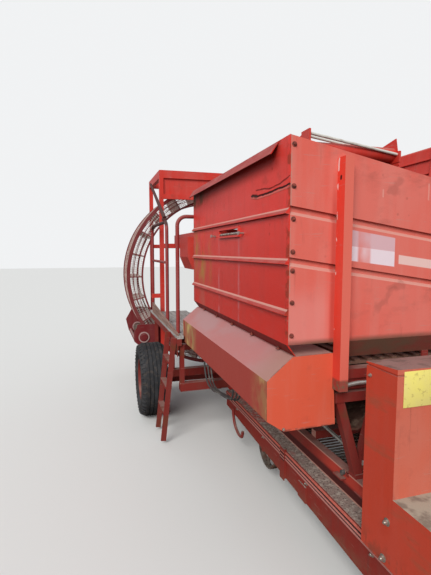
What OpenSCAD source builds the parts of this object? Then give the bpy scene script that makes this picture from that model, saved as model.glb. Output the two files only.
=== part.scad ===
// Trailed one-row potato harvester with a side bunker, a ring elevator and a
// picking table. X points to the machine's left, Y to its rear, Z up.
// The pieces are drawn from the axle's middle, then moved so that the box of
// the whole machine has the middle of its base at the origin.

/* [Frame] */
// Half the distance between the inner faces of the two main rails
rail_in = 268; // [240:1:300]
// Width of a main rail
rail_w = 50; // [40:1:60]
// Height of the underside of the main rails, where the side plates end
rail_z = 397; // [380:1:410]
// Height of a main rail's section
rail_h = 122; // [90:1:140]
// Front end of the main rails
rail_front = -3320; // [-3400:10:-3250]
// Rear end of the main rails
rail_rear = 925; // [880:5:935]

/* [Side plates] */
// Distance of the ribbed side plates from the middle
plate_x = 404; // [380:1:420]
// Thickness of folded sheet
sheet_t = 5; // [3:0.5:6]
// Front end of the ribbed side plates
plate_front = -3950; // [-4050:10:-3800]
// Rear end of the ribbed side plates
plate_rear = -654; // [-720:1:-600]
// Height of the side plates' lower edge at the rear end
plate_low_rear = 258; // [230:1:280]
// Rise of the side plates' lower edge towards the rear, per length
plate_rise = 0.037; // [0.02:0.001:0.05]

/* [Webs] */
// Length of the web rods
web_rod_l = 500; // [440:1:516]
// Thickness of a web rod
web_rod_d = 11; // [9:1:14]
// Distance between the modelled rods
web_pitch = 64; // [56:1:100]
// Radius of the web rollers
web_roller_r = 48; // [40:1:55]
// Front roller of the digging web, along Y
main_web_front_y = -4210; // [-4260:10:-4150]
// Front roller of the digging web, height
main_web_front_z = 165; // [150:1:180]
// Rear roller of the digging web, along Y
main_web_rear_y = -490; // [-520:5:-470]
// Rear roller of the digging web, height
main_web_rear_z = 440; // [430:1:460]
// Front roller of the haulm web, along Y
haulm_web_front_y = -340; // [-350:5:-300]
// Front roller of the haulm web, height
haulm_web_front_z = 352; // [345:1:360]
// Rear roller of the haulm web, along Y
haulm_web_rear_y = 2080; // [2000:10:2200]
// Rear roller of the haulm web, height
haulm_web_rear_z = 655; // [645:1:680]

/* [Wheels] */
// Radius of the tyres
tyre_r = 365; // [350:1:380]
// Width of the tyres
tyre_w = 268; // [240:1:280]
// Distance of each wheel's middle from the machine's middle
wheel_x = 1005; // [980:1:1020]
// Radius of the rim's bead seat
rim_r = 196; // [185:1:205]
// Radius of the stub axles
spindle_r = 30; // [25:1:35]
// Side of the square axle beam
axle_b = 90; // [80:1:100]

/* [Bunker] */
// Outer face of the bunker's right wall
bunker_x0 = -710; // [-740:1:-690]
// Outer face of the bunker's left wall
bunker_x1 = 790; // [760:1:800]
// Front face of the bunker
bunker_y0 = -2450; // [-2500:1:-2400]
// Rear face of the bunker
bunker_y1 = -655; // [-670:1:-640]
// Height of the bunker's top edge at the right wall
bunker_top = 2178; // [2120:1:2220]
// Height of the bunker walls' lower edge
bunker_low = 1232; // [1220:1:1250]
// Fall of the front wall's top edge towards the left, per length
bunker_fall = 0.19; // [0.1:0.01:0.22]
// Thickness of a bunker wall
wall_t = 5; // [4:0.5:6]
// Height of the bunker's moving floor
floor_z = 1105; // [1095:1:1112]

/* [Ring elevator] */
// Height of the ring's axis
ring_z = 1345; // [1340:1:1350]
// Outer radius of the ring
ring_r = 1155; // [1140:1:1160]
// Depth of the ring's pockets
ring_depth = 200; // [190:1:205]
// Near face of the ring, along Y
ring_y0 = 970; // [965:1:980]
// Width of the ring along Y
ring_w = 560; // [500:5:570]
// Number of pockets round the ring
ring_pockets = 24; // [18:1:30]
// Radius of the carrying rollers under the ring
ring_roller_r = 59.7; // [50:0.1:59.7]

/* [Portal] */
// Height of the portal's top
portal_top = 2609; // [2600:1:2650]
// Outer face of the portal's posts
portal_x = 778; // [770:1:800]
// Width of the portal's posts
post_w = 48; // [44:1:52]
// Near face of the front portal, along Y
portal_y = 742; // [735:1:745]

/* [Platform] */
// Height of the standing boards
deck_z = 940; // [920:1:960]
// Outer edge of the platform
deck_x = 880; // [860:1:900]
// Inner edge of the platform
deck_in = 470; // [450:1:500]
// Front end of the platform
deck_front = -740; // [-760:5:-730]
// Thickness of the handrail tube
rail_d = 34; // [28:1:40]
// Height of the handrails
rail_top = 1955; // [1920:5:1990]

/* [Drawbar] */
// Place of the drawbar's pivot across the machine
drawbar_x = 620; // [600:5:640]
// Place of the drawbar's pivot along the machine
drawbar_y = -3430; // [-3450:5:-3420]
// Length of the drawbar from its pivot to its eye
drawbar_l = 1950; // [1800:10:2100]
// Height of the drawbar's middle
drawbar_z = 470; // [460:1:480]
// Radius of the hole in the hitch eye
eye_r = 20.5; // [20:0.1:26]
// Thickness of the hitch eye
eye_t = 30; // [25:1:35]

/* [Unloading boom] */
// Length of the boom
boom_l = 1600; // [1500:10:1650]
// Near side of the boom, along Y
boom_y0 = -1540; // [-1560:5:-1520]
// Width of the boom
boom_w = 700; // [600:5:720]
// Lean of the raised boom away from the upright
boom_lean = 6; // [5:1:8]

/* [Hidden] */
$fn = 32;
shift_x = 0;
red = [0.62, 0.12, 0.10];
dark_red = [0.42, 0.09, 0.08];
orange_red = [0.78, 0.24, 0.15];
steel = [0.55, 0.55, 0.55];
black = [0.08, 0.08, 0.08];
timber = [0.50, 0.47, 0.42];
gap = 0.3;
run_gap = 0.05;
rail_top_z = rail_z + rail_h;
rail_out = rail_in + rail_w;
plate_in = rail_in - sheet_t;
web_gap = web_roller_r + web_rod_d / 2 + 0.5;
main_web_a = atan2(main_web_rear_z - main_web_front_z, main_web_rear_y - main_web_front_y);
haulm_web_a = atan2(haulm_web_rear_z - haulm_web_front_z, haulm_web_rear_y - haulm_web_front_y);
ring_in = ring_r - ring_depth;
ring_y1 = ring_y0 + ring_w;
post_in = portal_x - post_w;
main_web_l = norm([main_web_rear_y - main_web_front_y, main_web_rear_z - main_web_front_z]);
haulm_web_l = norm([haulm_web_rear_y - haulm_web_front_y, haulm_web_rear_z - haulm_web_front_z]);
board_t = 6;
board_h = 150;
board_over = 62;
eye_out = 52;
front_end = drawbar_y - drawbar_l - eye_out;
rear_end = haulm_web_front_y + (haulm_web_l + board_over) * cos(haulm_web_a)
    + board_h / 2 * sin(haulm_web_a);
shift_y = -(front_end + rear_end) / 2;

// Moves a piece from the axle's middle to the machine's own origin
module placed() {
    translate([shift_x, shift_y, 0])
        children();
}

// Draws a right-hand piece as it is (side -1) or turned over to the left (side 1)
module sided(side) {
    mirror([side > 0 ? 1 : 0, 0, 0])
        children();
}

// A box from its lowest to its highest corner
module block(low, high) {
    translate(low)
        cube(high - low);
}

// An outline in X and Z, drawn out along Y
module prism_y(outline, y0, y1) {
    translate([0, y1, 0])
        rotate([90, 0, 0])
            linear_extrude(y1 - y0)
                polygon(outline);
}

// An outline in Y and Z, drawn out along X
module prism_x(outline, x0, x1) {
    translate([x0, 0, 0])
        rotate([90, 0, 90])
            linear_extrude(x1 - x0)
                polygon(outline);
}

// Turns +Z to point from p to q, and moves to p
module towards(p, q) {
    d = q - p;
    translate(p)
        rotate([0, acos(d.z / norm(d)), atan2(d.y, d.x)])
            children();
}

// A round bar from p to q
module rod(p, q, d) {
    towards(p, q)
        cylinder(d = d, h = norm(q - p));
}

// A box section from p to q, as wide as w and as deep as h
module bar(p, q, w, h) {
    towards(p, q)
        translate([-h / 2, -w / 2, 0])
            cube([h, w, norm(q - p)]);
}

// A cylinder along X or Y, from its start point
module round_x(p, d, l) {
    translate(p)
        rotate([0, 90, 0])
            cylinder(d = d, h = l);
}
module round_y(p, d, l) {
    translate(p)
        rotate([-90, 0, 0])
            cylinder(d = d, h = l);
}

// A bent tube through points, with a round bend at each inner point
function unit(v) = v / norm(v);
function turn(p, i) = acos(unit(p[i] - p[i - 1]) * unit(p[i + 1] - p[i]));
function setback(p, i, r) = i == 0 || i == len(p) - 1 ? 0 : r * tan(turn(p, i) / 2);
module bent_tube(p, d, r) {
    for (i = [0:len(p) - 2]) {
        u = unit(p[i + 1] - p[i]);
        rod(p[i] + u * setback(p, i, r), p[i + 1] - u * setback(p, i + 1, r), d);
    }
    for (i = [1:1:len(p) - 2]) {
        u = unit(p[i] - p[i - 1]);
        v = unit(p[i + 1] - p[i]);
        n = unit(v - u * (u * v));
        e = cross(-n, u);
        c = p[i] - u * setback(p, i, r) + n * r;
        multmatrix([
            [-n.x, u.x, e.x, c.x],
            [-n.y, u.y, e.y, c.y],
            [-n.z, u.z, e.z, c.z],
            [0, 0, 0, 1]
        ])
            rotate_extrude(angle = turn(p, i))
                translate([r, 0])
                    circle(d = d);
    }
}

// Frame: two rails, a front beam that carries the drawbar, and outriggers
front_beam_y = rail_front;
front_beam_d = 110;
front_beam_h = 100;
hitch_plate_t = 20;
hitch_play = 5;
drawbar_h = 100;
pivot_r = 26;
outriggers = [deck_front + 45, -260, portal_y + post_w / 2];
outrigger_h = 70;
module hitch_plate(z) {
    block([drawbar_x - 95, drawbar_y - 60, z], [drawbar_x + 95, front_beam_y, z + hitch_plate_t]);
}
module frame_rails() color(dark_red) placed() {
    for (side = [-1, 1])
        sided(side) {
            block([-rail_out, rail_front, rail_z], [-rail_in, rail_rear, rail_top_z]);
            for (y = outriggers)
                block(
                    [-deck_x + 30, y - 35, rail_top_z - outrigger_h],
                    [-rail_out, y + 35, rail_top_z]
                );
        }
    block(
        [-rail_out, front_beam_y, rail_top_z],
        [drawbar_x + 150, front_beam_y + front_beam_d, rail_top_z + front_beam_h]
    );
    low = drawbar_z - drawbar_h / 2 - hitch_play - hitch_plate_t;
    high = drawbar_z + drawbar_h / 2 + hitch_play;
    hitch_plate(low);
    hitch_plate(high);
    block(
        [drawbar_x - 95, front_beam_y, low],
        [drawbar_x + 95, front_beam_y + hitch_plate_t, rail_top_z]
    );
    translate([drawbar_x, drawbar_y, low - 12])
        cylinder(r = pivot_r, h = high - low + hitch_plate_t + 24);
    block(
        [ram2_base.x - 22, ram2_base.y - 22, ram2_z - 32],
        [ram2_base.x + 22, rail_front + 24, ram2_z - 20]
    );
    block(
        [ram2_base.x - 22, rail_front, ram2_z - 32],
        [ram2_base.x + 22, rail_front + 24, rail_top_z]
    );
    translate([ram2_base.x, ram2_base.y, ram2_z - 30])
        cylinder(r = ram_pin_r, h = 54);
    block([-rail_in, -1980, rail_top_z - 8], [rail_in, -1930, rail_top_z + 42]);
}

// Ribbed side plate: an outer sheet with three folded ridges, a ledge and an inner sheet
ridge_out = 10;
ridge_h = 20;
ridge_count = 3;
plate_bottom = 90;
function plate_low(y) = plate_low_rear + (y - plate_rear) * plate_rise;
module side_plate(side) {
    ridges = [
        for (k = [0:ridge_count - 1])
            for (p = [[0, -k], [ridge_out, -k - 0.35], [ridge_out, -k - 0.65], [0, -k - 1]])
                [-plate_x - p.x, rail_z - 6 + p.y * ridge_h]
    ];
    inner = [
        for (k = [len(ridges) - 1:-1:0])
            [ridges[k].x + sheet_t, ridges[k].y]
    ];
    sided(side)
        difference() {
            union() {
                prism_y(
                    concat(
                        [[-plate_x, rail_z]], ridges,
                        [[-plate_x, plate_bottom], [-plate_x + sheet_t, plate_bottom]], inner,
                        [
                            [-plate_x + sheet_t, rail_z - sheet_t], [-rail_in, rail_z - sheet_t],
                            [-rail_in, plate_bottom], [-plate_in, plate_bottom],
                            [-plate_in, rail_z]
                        ]
                    ),
                    plate_front, plate_rear
                );
                block([-plate_x - 16, -1860, 200], [-plate_x, -1800, 408]);
                block([-plate_x - 8, -2120, 120], [-plate_x, -2030, 300]);
            }
            prism_x(
                [
                    [plate_front - 1, plate_bottom - 1], [plate_rear + 1, plate_bottom - 1],
                    [plate_rear + 1, plate_low(plate_rear)], [plate_front - 1, plate_low(plate_front)]
                ],
                -plate_x - ridge_out - 1, -plate_in + 1
            );
        }
}
guide_y = -1480;
guide_z = 235;
guide_r = 148;
guide_w = 40;
guide_x = -372;
guide_pin_r = 12;
module side_plate_right() color(red) placed() {
    side_plate(-1);
    round_x([-plate_x + 1, guide_y, guide_z], 2 * guide_pin_r, plate_x + guide_x + guide_w + 7);
    round_x([-plate_x + 1, guide_y, guide_z], 50, plate_x + guide_x - 1 - gap);
    round_x([guide_x + guide_w + gap, guide_y, guide_z], 44, 6);
}
module side_plate_left() color(red) placed() side_plate(1);

// Rod web: two belts round two rollers, with rods across both runs
belt_t = 9;
belt_w = 30;
module belt_loop(l, r) {
    difference() {
        stadium(l, r + belt_t);
        stadium(l, r);
    }
}
module stadium(l, r) {
    circle(r);
    translate([0, -r])
        square([l, 2 * r]);
    translate([l, 0])
        circle(r);
}
module rod_web(y, z, a, l) {
    translate([0, y, z])
        rotate([a, 0, 0])
            union() {
                for (side = [-1, 1])
                    translate([side * (web_rod_l / 2 - belt_w / 2) - belt_w / 2, 0, 0])
                        rotate([90, 0, 90])
                            linear_extrude(belt_w)
                                belt_loop(l, web_roller_r + gap);
                for (s = [web_pitch / 2:web_pitch:l], side = [-1, 1])
                    translate([
                        -web_rod_l / 2, s,
                        side * (web_roller_r + gap + belt_t / 2)
                    ])
                        rotate([0, 90, 0])
                            cylinder(d = web_rod_d, h = web_rod_l, $fn = 6);
            }
}
module main_web() color(steel) placed()
    rod_web(main_web_front_y, main_web_front_z, main_web_a, main_web_l);
module haulm_web() color(steel) placed()
    rod_web(haulm_web_front_y, haulm_web_front_z, haulm_web_a, haulm_web_l);

// Web rollers on their shafts
module web_roller(y, z, half) {
    round_x([-web_rod_l / 2 + 2, y, z], 2 * web_roller_r, web_rod_l - 4);
    round_x([-half, y, z], 40, 2 * half);
}
module web_rollers() color(dark_red) placed() {
    web_roller(main_web_front_y, main_web_front_z, plate_in);
    web_roller(main_web_rear_y, main_web_rear_z, rail_in);
    web_roller(haulm_web_front_y, haulm_web_front_z, rail_in - board_t);
    web_roller(haulm_web_rear_y, haulm_web_rear_z, rail_in - board_t);
}

// Side boards that carry the haulm web through the ring
module haulm_web_frame() color(red) placed()
    for (side = [-1, 1])
        sided(side)
            translate([-rail_in, haulm_web_front_y, haulm_web_front_z])
                rotate([haulm_web_a, 0, 0])
                    translate([0, -board_over, -board_h / 2])
                        cube([board_t, haulm_web_l + 2 * board_over, board_h]);

// Digging share: pointed blades on a cross bar in front of the web
share_blades = 3;
share_tip = 200;
share_t = 12;
share_fall = 22;
share_y = main_web_front_y - web_gap - 22;
share_z = 118;
share_w = 2 * plate_in / share_blades;
module digging_share() color(steel) placed()
    translate([0, share_y, share_z])
        rotate([share_fall, 0, 0]) {
            for (i = [0:share_blades - 1])
                translate([(i + 0.5) * share_w - plate_in, 0, -share_t])
                    linear_extrude(share_t)
                        polygon([
                            [-share_w / 2, 0], [-share_w / 2, -share_tip * 0.4], [-40, -share_tip],
                            [40, -share_tip], [share_w / 2, -share_tip * 0.4], [share_w / 2, 0]
                        ]);
            block([-plate_in, -50, -share_t - 30], [plate_in, -10, -share_t]);
        }

// Front frame: arms and cheeks that carry the share, the discs and the ridge roller
arm_z = rail_top_z;
arm_h = 80;
arm_x0 = plate_in;
arm_x1 = plate_in + 60;
arm_front = -4560;
cheek_t = 12;
disc_y = -4330;
disc_z = 322;
disc_r = 285;
disc_x = 345;
disc_hub = 55;
disc_pin_r = 15;
hanger_x = disc_x + 62;
hanger_t = 16;
ridge_y = -4640;
ridge_z = 300;
ridge_r = 195;
ridge_waist = 115;
ridge_half = 285;
fork_x = ridge_half + 8;
fork_t = 12;
module coulter_frame() color(red) placed() {
    for (side = [-1, 1])
        sided(side) {
            block([-arm_x1, arm_front, arm_z], [-arm_x0, rail_front, arm_z + arm_h]);
            prism_x(
                [
                    [-4340, 92], [plate_front, plate_low(plate_front)], [plate_front, rail_z],
                    [-3900, rail_z], [-3880, arm_z], [-4290, arm_z], [-4340, 300]
                ],
                -plate_in - cheek_t, -plate_in
            );
            block(
                [-hanger_x - hanger_t, disc_y - 35, disc_z - 35],
                [-hanger_x, disc_y + 35, arm_z + arm_h + 60]
            );
            block(
                [-hanger_x - hanger_t, disc_y - 35, arm_z + arm_h + 20],
                [-arm_x0, disc_y + 35, arm_z + arm_h + 60]
            );
            block([-arm_x1, disc_y - 35, arm_z + arm_h], [-arm_x0, disc_y + 35, arm_z + arm_h + 20]);
            round_x([-hanger_x, disc_y, disc_z], 2 * disc_pin_r, disc_hub + 12);
            prism_x(
                [
                    [arm_front, arm_z + arm_h + 60], [arm_front, arm_z], [ridge_y + 30, ridge_z - 30],
                    [ridge_y - 30, ridge_z - 30], [ridge_y - 45, ridge_z + 30],
                    [arm_front - 40, arm_z + arm_h + 60]
                ],
                -fork_x - fork_t, -fork_x
            );
        }
    block([-arm_x1, arm_front, arm_z + arm_h], [arm_x1, arm_front + 60, arm_z + arm_h + 60]);
    round_x([-fork_x, ridge_y, ridge_z], 2 * disc_pin_r, 2 * fork_x);
}

// Dished disc coulter, drawn about X with its hub outwards
module disc_coulter(side) {
    sided(side)
        translate([-disc_x, disc_y, disc_z])
            rotate([0, -90, 0])
                difference() {
                    union() {
                        rotate_extrude($fn = 64)
                            polygon([
                                [0, 14], [80, 14], [disc_r - 40, 2], [disc_r, 0], [disc_r, 1.5],
                                [disc_r - 40, 8], [80, 20], [0, 20]
                            ]);
                        cylinder(r = 42, h = disc_hub);
                    }
                    translate([0, 0, -1])
                        cylinder(r = disc_pin_r + run_gap, h = disc_hub + 2);
                }
}
module disc_coulter_right() color(steel) placed() disc_coulter(-1);
module disc_coulter_left() color(steel) placed() disc_coulter(1);

// Waisted roller that rides on the ridge
module ridge_roller() color(red) placed()
    translate([-ridge_half, ridge_y, ridge_z])
        rotate([0, 90, 0])
            difference() {
                rotate_extrude($fn = 64)
                    polygon([
                        [0, 0], [ridge_r, 0], [ridge_r, 30], [ridge_waist, ridge_half - 60],
                        [ridge_waist, ridge_half + 60], [ridge_r, 2 * ridge_half - 30],
                        [ridge_r, 2 * ridge_half], [0, 2 * ridge_half]
                    ]);
                translate([0, 0, -1])
                    cylinder(r = disc_pin_r + run_gap, h = 2 * ridge_half + 2);
            }

// Small spoked wheel inside the right side plate
module guide_wheel() color(steel) placed()
    translate([guide_x, guide_y, guide_z])
        rotate([0, 90, 0])
            difference() {
                union() {
                    difference() {
                        cylinder(r = guide_r, h = guide_w, $fn = 64);
                        translate([0, 0, -1])
                            cylinder(r = guide_r - 16, h = guide_w + 2, $fn = 64);
                    }
                    cylinder(r = 34, h = guide_w);
                    for (i = [0:5])
                        rotate([0, 0, i * 60])
                            block([20, -12, 14], [guide_r - 8, 12, 26]);
                }
                translate([0, 0, -1])
                    cylinder(r = guide_pin_r + run_gap, h = guide_w + 2);
            }

// Cranked axle: it dips under the web and ends in the two stub axles
axle_drop_z = 200;
hub_in = wheel_x - 80;
hub_out = wheel_x + 70;
module axle() color(dark_red) placed() {
    block([-rail_in, -axle_b / 2, axle_drop_z], [rail_in, axle_b / 2, axle_drop_z + axle_b]);
    for (side = [-1, 1])
        sided(side) {
            block([-rail_out, -60, axle_drop_z], [-rail_in, 60, rail_z]);
            block(
                [-hub_in + 65, -axle_b / 2, tyre_r - axle_b / 2],
                [-rail_out, axle_b / 2, tyre_r + axle_b / 2]
            );
            round_x([-hub_in + 5, 0, tyre_r], 110, 60);
            round_x([-hub_out - 5, 0, tyre_r], 2 * spindle_r, hub_out - hub_in + 15);
            round_x([-hub_out - 22, 0, tyre_r], 76, 17);
        }
}

// Tyre: a rounded carcass with raised tread ribs round it
tread_ribs = 5;
rib_h = 9;
module tyre(side) {
    half = tyre_w / 2;
    seat = rim_r + gap;
    sided(side)
        translate([-wheel_x, 0, tyre_r])
            rotate([0, 90, 0])
                rotate_extrude($fn = 96)
                    union() {
                        polygon([
                            [seat, -half + 36], [seat + 12, -half + 36], [seat + 20, -half + 24],
                            [seat + 55, -half + 4],
                            [seat + 85, -half], [tyre_r - 50, -half + 6], [tyre_r - 22, -half + 22],
                            [tyre_r - rib_h, -half + 48], [tyre_r - rib_h, half - 48],
                            [tyre_r - 22, half - 22], [tyre_r - 50, half - 6], [seat + 85, half],
                            [seat + 55, half - 4], [seat + 20, half - 24], [seat + 12, half - 36],
                            [seat, half - 36],
                            [seat, half - 50], [seat + 22, half - 60], [seat + 30, 0],
                            [seat + 22, -half + 60], [seat, -half + 50]
                        ]);
                        for (i = [0:tread_ribs - 1])
                            translate([tyre_r - rib_h - 6, (i - (tread_ribs - 1) / 2) * 37 - 13])
                                square([rib_h + 6, 26]);
                    }
}
module rim(side) {
    half = tyre_w / 2;
    sided(side)
        translate([-wheel_x, 0, tyre_r])
            rotate([0, 90, 0]) {
                rotate_extrude($fn = 64)
                    polygon([
                        [rim_r - 8, -half + 22], [rim_r + 10, -half + 22], [rim_r + 10, -half + 30],
                        [rim_r, -half + 34], [rim_r, half - 34], [rim_r + 10, half - 30],
                        [rim_r + 10, half - 22], [rim_r - 8, half - 22]
                    ]);
                translate([0, 0, -50])
                    difference() {
                        cylinder(r = rim_r - 6, h = 10, $fn = 64);
                        cylinder(r = 40, h = 10);
                    }
                translate([0, 0, wheel_x - hub_out])
                    difference() {
                        cylinder(r = 62, h = hub_out - hub_in);
                        translate([0, 0, -1])
                            cylinder(r = spindle_r + run_gap, h = hub_out - hub_in + 2);
                    }
            }
}
module tyre_right() color(black) placed() tyre(-1);
module tyre_left() color(black) placed() tyre(1);
module rim_right() color(red) placed() rim(-1);
module rim_left() color(red) placed() rim(1);

// Bunker walls
rib_out = 18;
rib_t = 16;
function bunker_edge(x) = bunker_top - (x - bunker_x0) * bunker_fall;
lip_out = 42;
lip_drop = 62;
lip_front = 120;
right_ribs = [1384, 1617, 1845];
// Each groove of the end walls: height at the right wall
grooves = [1618, 1849];
groove_fall = 0.148;
groove_d = 16;
groove_void = [[-1, 20], [groove_d, 18.5], [groove_d, -4], [-1, -21]];
groove_sheet = [[1, 24], [groove_d + 4, 22.5], [groove_d + 4, -6], [2, -26], [1, -26]];
handle_y = [-1822, -1421];
handle_z = 1781;
handle_h = 62;
handle_out = 14;
slot_inset = 14;
slot_h = 38;
flange_low = 1142;
flange_in = 48;
post_x = [-467, -421];
housing = [[-679, 1176], [-468, 1180], [-447, 826], [-720, 822], [-807, 881], [-809, 1070]];
module bunker_wall_right() color(red) placed()
    difference() {
        union() {
            block([bunker_x0, bunker_y0, bunker_low], [bunker_x0 + wall_t, bunker_y1, bunker_top]);
            prism_y(
                [
                    [bunker_x0 + 1, bunker_top], [bunker_x0, bunker_top],
                    [bunker_x0 - lip_out, bunker_top - lip_drop],
                    [bunker_x0 - lip_out + wall_t, bunker_top - lip_drop - 2],
                    [bunker_x0, bunker_top - 9], [bunker_x0 + 1, bunker_top - 9]
                ],
                bunker_y0 + lip_front, bunker_y1
            );
            for (z = right_ribs)
                prism_y(
                    [
                        [bunker_x0 + 1, z + 14], [bunker_x0, z + 14], [bunker_x0 - rib_out, z - 8],
                        [bunker_x0 - rib_out, z - 12], [bunker_x0, z - 16], [bunker_x0 + 1, z - 16]
                    ],
                    bunker_y0, bunker_y1
                );
            block(
                [bunker_x0 - handle_out, handle_y[0], handle_z - handle_h / 2],
                [bunker_x0 + 1, handle_y[1], handle_z + handle_h / 2]
            );
            prism_y(
                [
                    [bunker_x0, bunker_low + wall_t], [bunker_x0, bunker_low],
                    [bunker_x0 + 42, housing[0].y + 0.9], [bunker_x0 + 48, housing[0].y + 0.9],
                    [bunker_x0 + wall_t, bunker_low + wall_t]
                ],
                bunker_y0 + wall_t, bunker_y1 - wall_t
            );
        }
        block(
            [bunker_x0 - handle_out - 1, handle_y[0] + slot_inset, handle_z - slot_h / 2],
            [bunker_x0 + wall_t + 1, handle_y[1] - slot_inset, handle_z + slot_h / 2]
        );
    }

// A sheet across one end, with its outer face at Y 0 and its grooves pressed in along +Y
module groove(z, outline) {
    translate([bunker_x0, 0, z])
        rotate([0, atan(groove_fall), 0])
            prism_x(outline, -40, bunker_x1 - bunker_x0 + 60);
}
module end_wall() {
    x0 = bunker_x0 + wall_t;
    x1 = bunker_x1 - wall_t;
    difference() {
        union() {
            prism_y(
                [[x0, bunker_low], [x1, bunker_low], [x1, bunker_edge(x1)], [x0, bunker_edge(x0)]],
                0, wall_t
            );
            for (z = grooves)
                groove(z, groove_sheet);
        }
        for (z = grooves)
            groove(z, groove_void);
        block([x0 - 100, -2, bunker_low], [x0, 60, bunker_top]);
        block([x1, -2, bunker_low], [x1 + 100, 60, bunker_top]);
    }
}
module end_flange(y, into) {
    x0 = beam_x[0] + 6;
    x1 = beam_x[1] - 63;
    prism_x(
        into > 0
            ? [
                [y, bunker_low], [y + wall_t, bunker_low], [y + wall_t, bunker_low + 2],
                [y + wall_t + flange_in, flange_low], [y + flange_in, flange_low]
            ]
            : [
                [y + wall_t, bunker_low], [y, bunker_low], [y, bunker_low + 2],
                [y - flange_in, flange_low], [y + wall_t - flange_in, flange_low]
            ],
        x0, x1
    );
}
module bunker_wall_front() color(orange_red) placed() {
    translate([0, bunker_y0, 0])
        end_wall();
    end_flange(bunker_y0, 1);
}

// Place and slope of the filling conveyor, which rests in the rear wall's notch
fill_x = [-435, 150];
fill_rear = [-470, 1900];
fill_front = [-2110, 2235];
fill_a = atan2(fill_front.y - fill_rear.y, fill_rear.x - fill_front.x);
fill_l = norm(fill_front - fill_rear);
fill_h = 160;
function fill_z(y) = fill_rear.y + (fill_rear.x - y) * tan(fill_a);
notch_z = fill_z(bunker_y1) - fill_h / 2 / cos(fill_a) - gap;
module bunker_wall_rear() color(red) placed() {
    difference() {
        translate([0, bunker_y1, 0])
            mirror([0, 1, 0])
                end_wall();
        block(
            [fill_x[0] - 6, bunker_y1 - wall_t - 30, notch_z],
            [fill_x[1] + 6, bunker_y1 + 1, bunker_top]
        );
    }
    end_flange(bunker_y1 - wall_t, -1);
}
mouth_z = 1700;
module bunker_wall_left() color(red) placed()
    difference() {
        union() {
            block(
                [bunker_x1 - wall_t, bunker_y0, bunker_low],
                [bunker_x1, bunker_y1, bunker_edge(bunker_x1 - wall_t)]
            );
            for (z = [1400, 1780])
                block(
                    [bunker_x1, bunker_y0, z - rib_t / 2],
                    [bunker_x1 + 10, bunker_y1, z + rib_t / 2]
                );
        }
        block(
            [bunker_x1 - wall_t - 1, boom_y0 + 20, bunker_low - 1],
            [bunker_x1 + 11, boom_y0 + boom_w - 20, mouth_z]
        );
    }

// Moving floor: a wide slatted belt over a tail roller and a head roller, its return run sagging
floor_y = [bunker_y0 + 72, bunker_y1 - 82];
tail = [-610, floor_z - 104];
head = [690, floor_z - 64];
tail_r = 92;
head_r = 52;
floor_t = 12;
slat_h = 10;
slat_pitch = 75;
floor_return = [
    [tail.x, tail.y - tail_r], [-440, 858], [-330, 760], [-262, 752], [-85, 838], [260, 930],
    [head.x, head.y - head_r]
];
module bunker_floor() color(steel) placed() {
    for (end = [[tail, tail_r, 90, 270], [head, head_r, -90, 90]])
        prism_y(
            concat(
                [for (k = [0:8]) let (a = end[2] + (end[3] - end[2]) * k / 8)
                    end[0] + (end[1] + floor_t) * [cos(a), sin(a)]],
                [for (k = [8:-1:0]) let (a = end[2] + (end[3] - end[2]) * k / 8)
                    end[0] + end[1] * [cos(a), sin(a)]]
            ),
            floor_y[0], floor_y[1]
        );
    block([tail.x, floor_y[0], floor_z - floor_t], [head.x, floor_y[1], floor_z]);
    prism_y(
        concat(
            floor_return,
            [for (k = [len(floor_return) - 1:-1:0]) floor_return[k] - [0, floor_t]]
        ),
        floor_y[0], floor_y[1]
    );
    for (x = [tail.x + 20:slat_pitch:head.x])
        block([x, floor_y[0], floor_z], [x + 28, floor_y[1], floor_z + slat_h]);
    for (r = [[tail, tail_r], [head, head_r]]) {
        round_y([r[0].x, floor_y[0], r[0].y], 2 * r[1] - 2 * gap, floor_y[1] - floor_y[0]);
    }
    for (r = [[tail, housing_t], [head, beam_d]])
        round_y(
            [r[0].x, bunker_y0 + r[1] + gap, r[0].y], 44,
            bunker_y1 - bunker_y0 - 2 * r[1] - 2 * gap
        );
}

// Chamfered sheet housing round the moving floor's tail, open towards the floor
housing_t = 4;
module floor_housing() color(orange_red) placed()
    difference() {
        prism_y(housing, bunker_y0, bunker_y1);
        prism_y(
            [
                [-677, 1172], [-430, 1176.5], [-430, 830], [-719, 826], [-803, 883], [-805, 1068]
            ],
            bunker_y0 + housing_t, bunker_y1 - housing_t
        );
    }

// Frame under the bunker: front and rear beams, legs down to the rails, and the boom's brackets
beam_x = [-446, 785];
beam_d = 60;
beam_z = [1003, 1045, 1092];
beam_tube_d = 26;
tie_z = [929, 977];
low_rail_z = 869;
flange_tab_x = [-420, 100, 560];
flange_tab_y = [14, 22];
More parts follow.
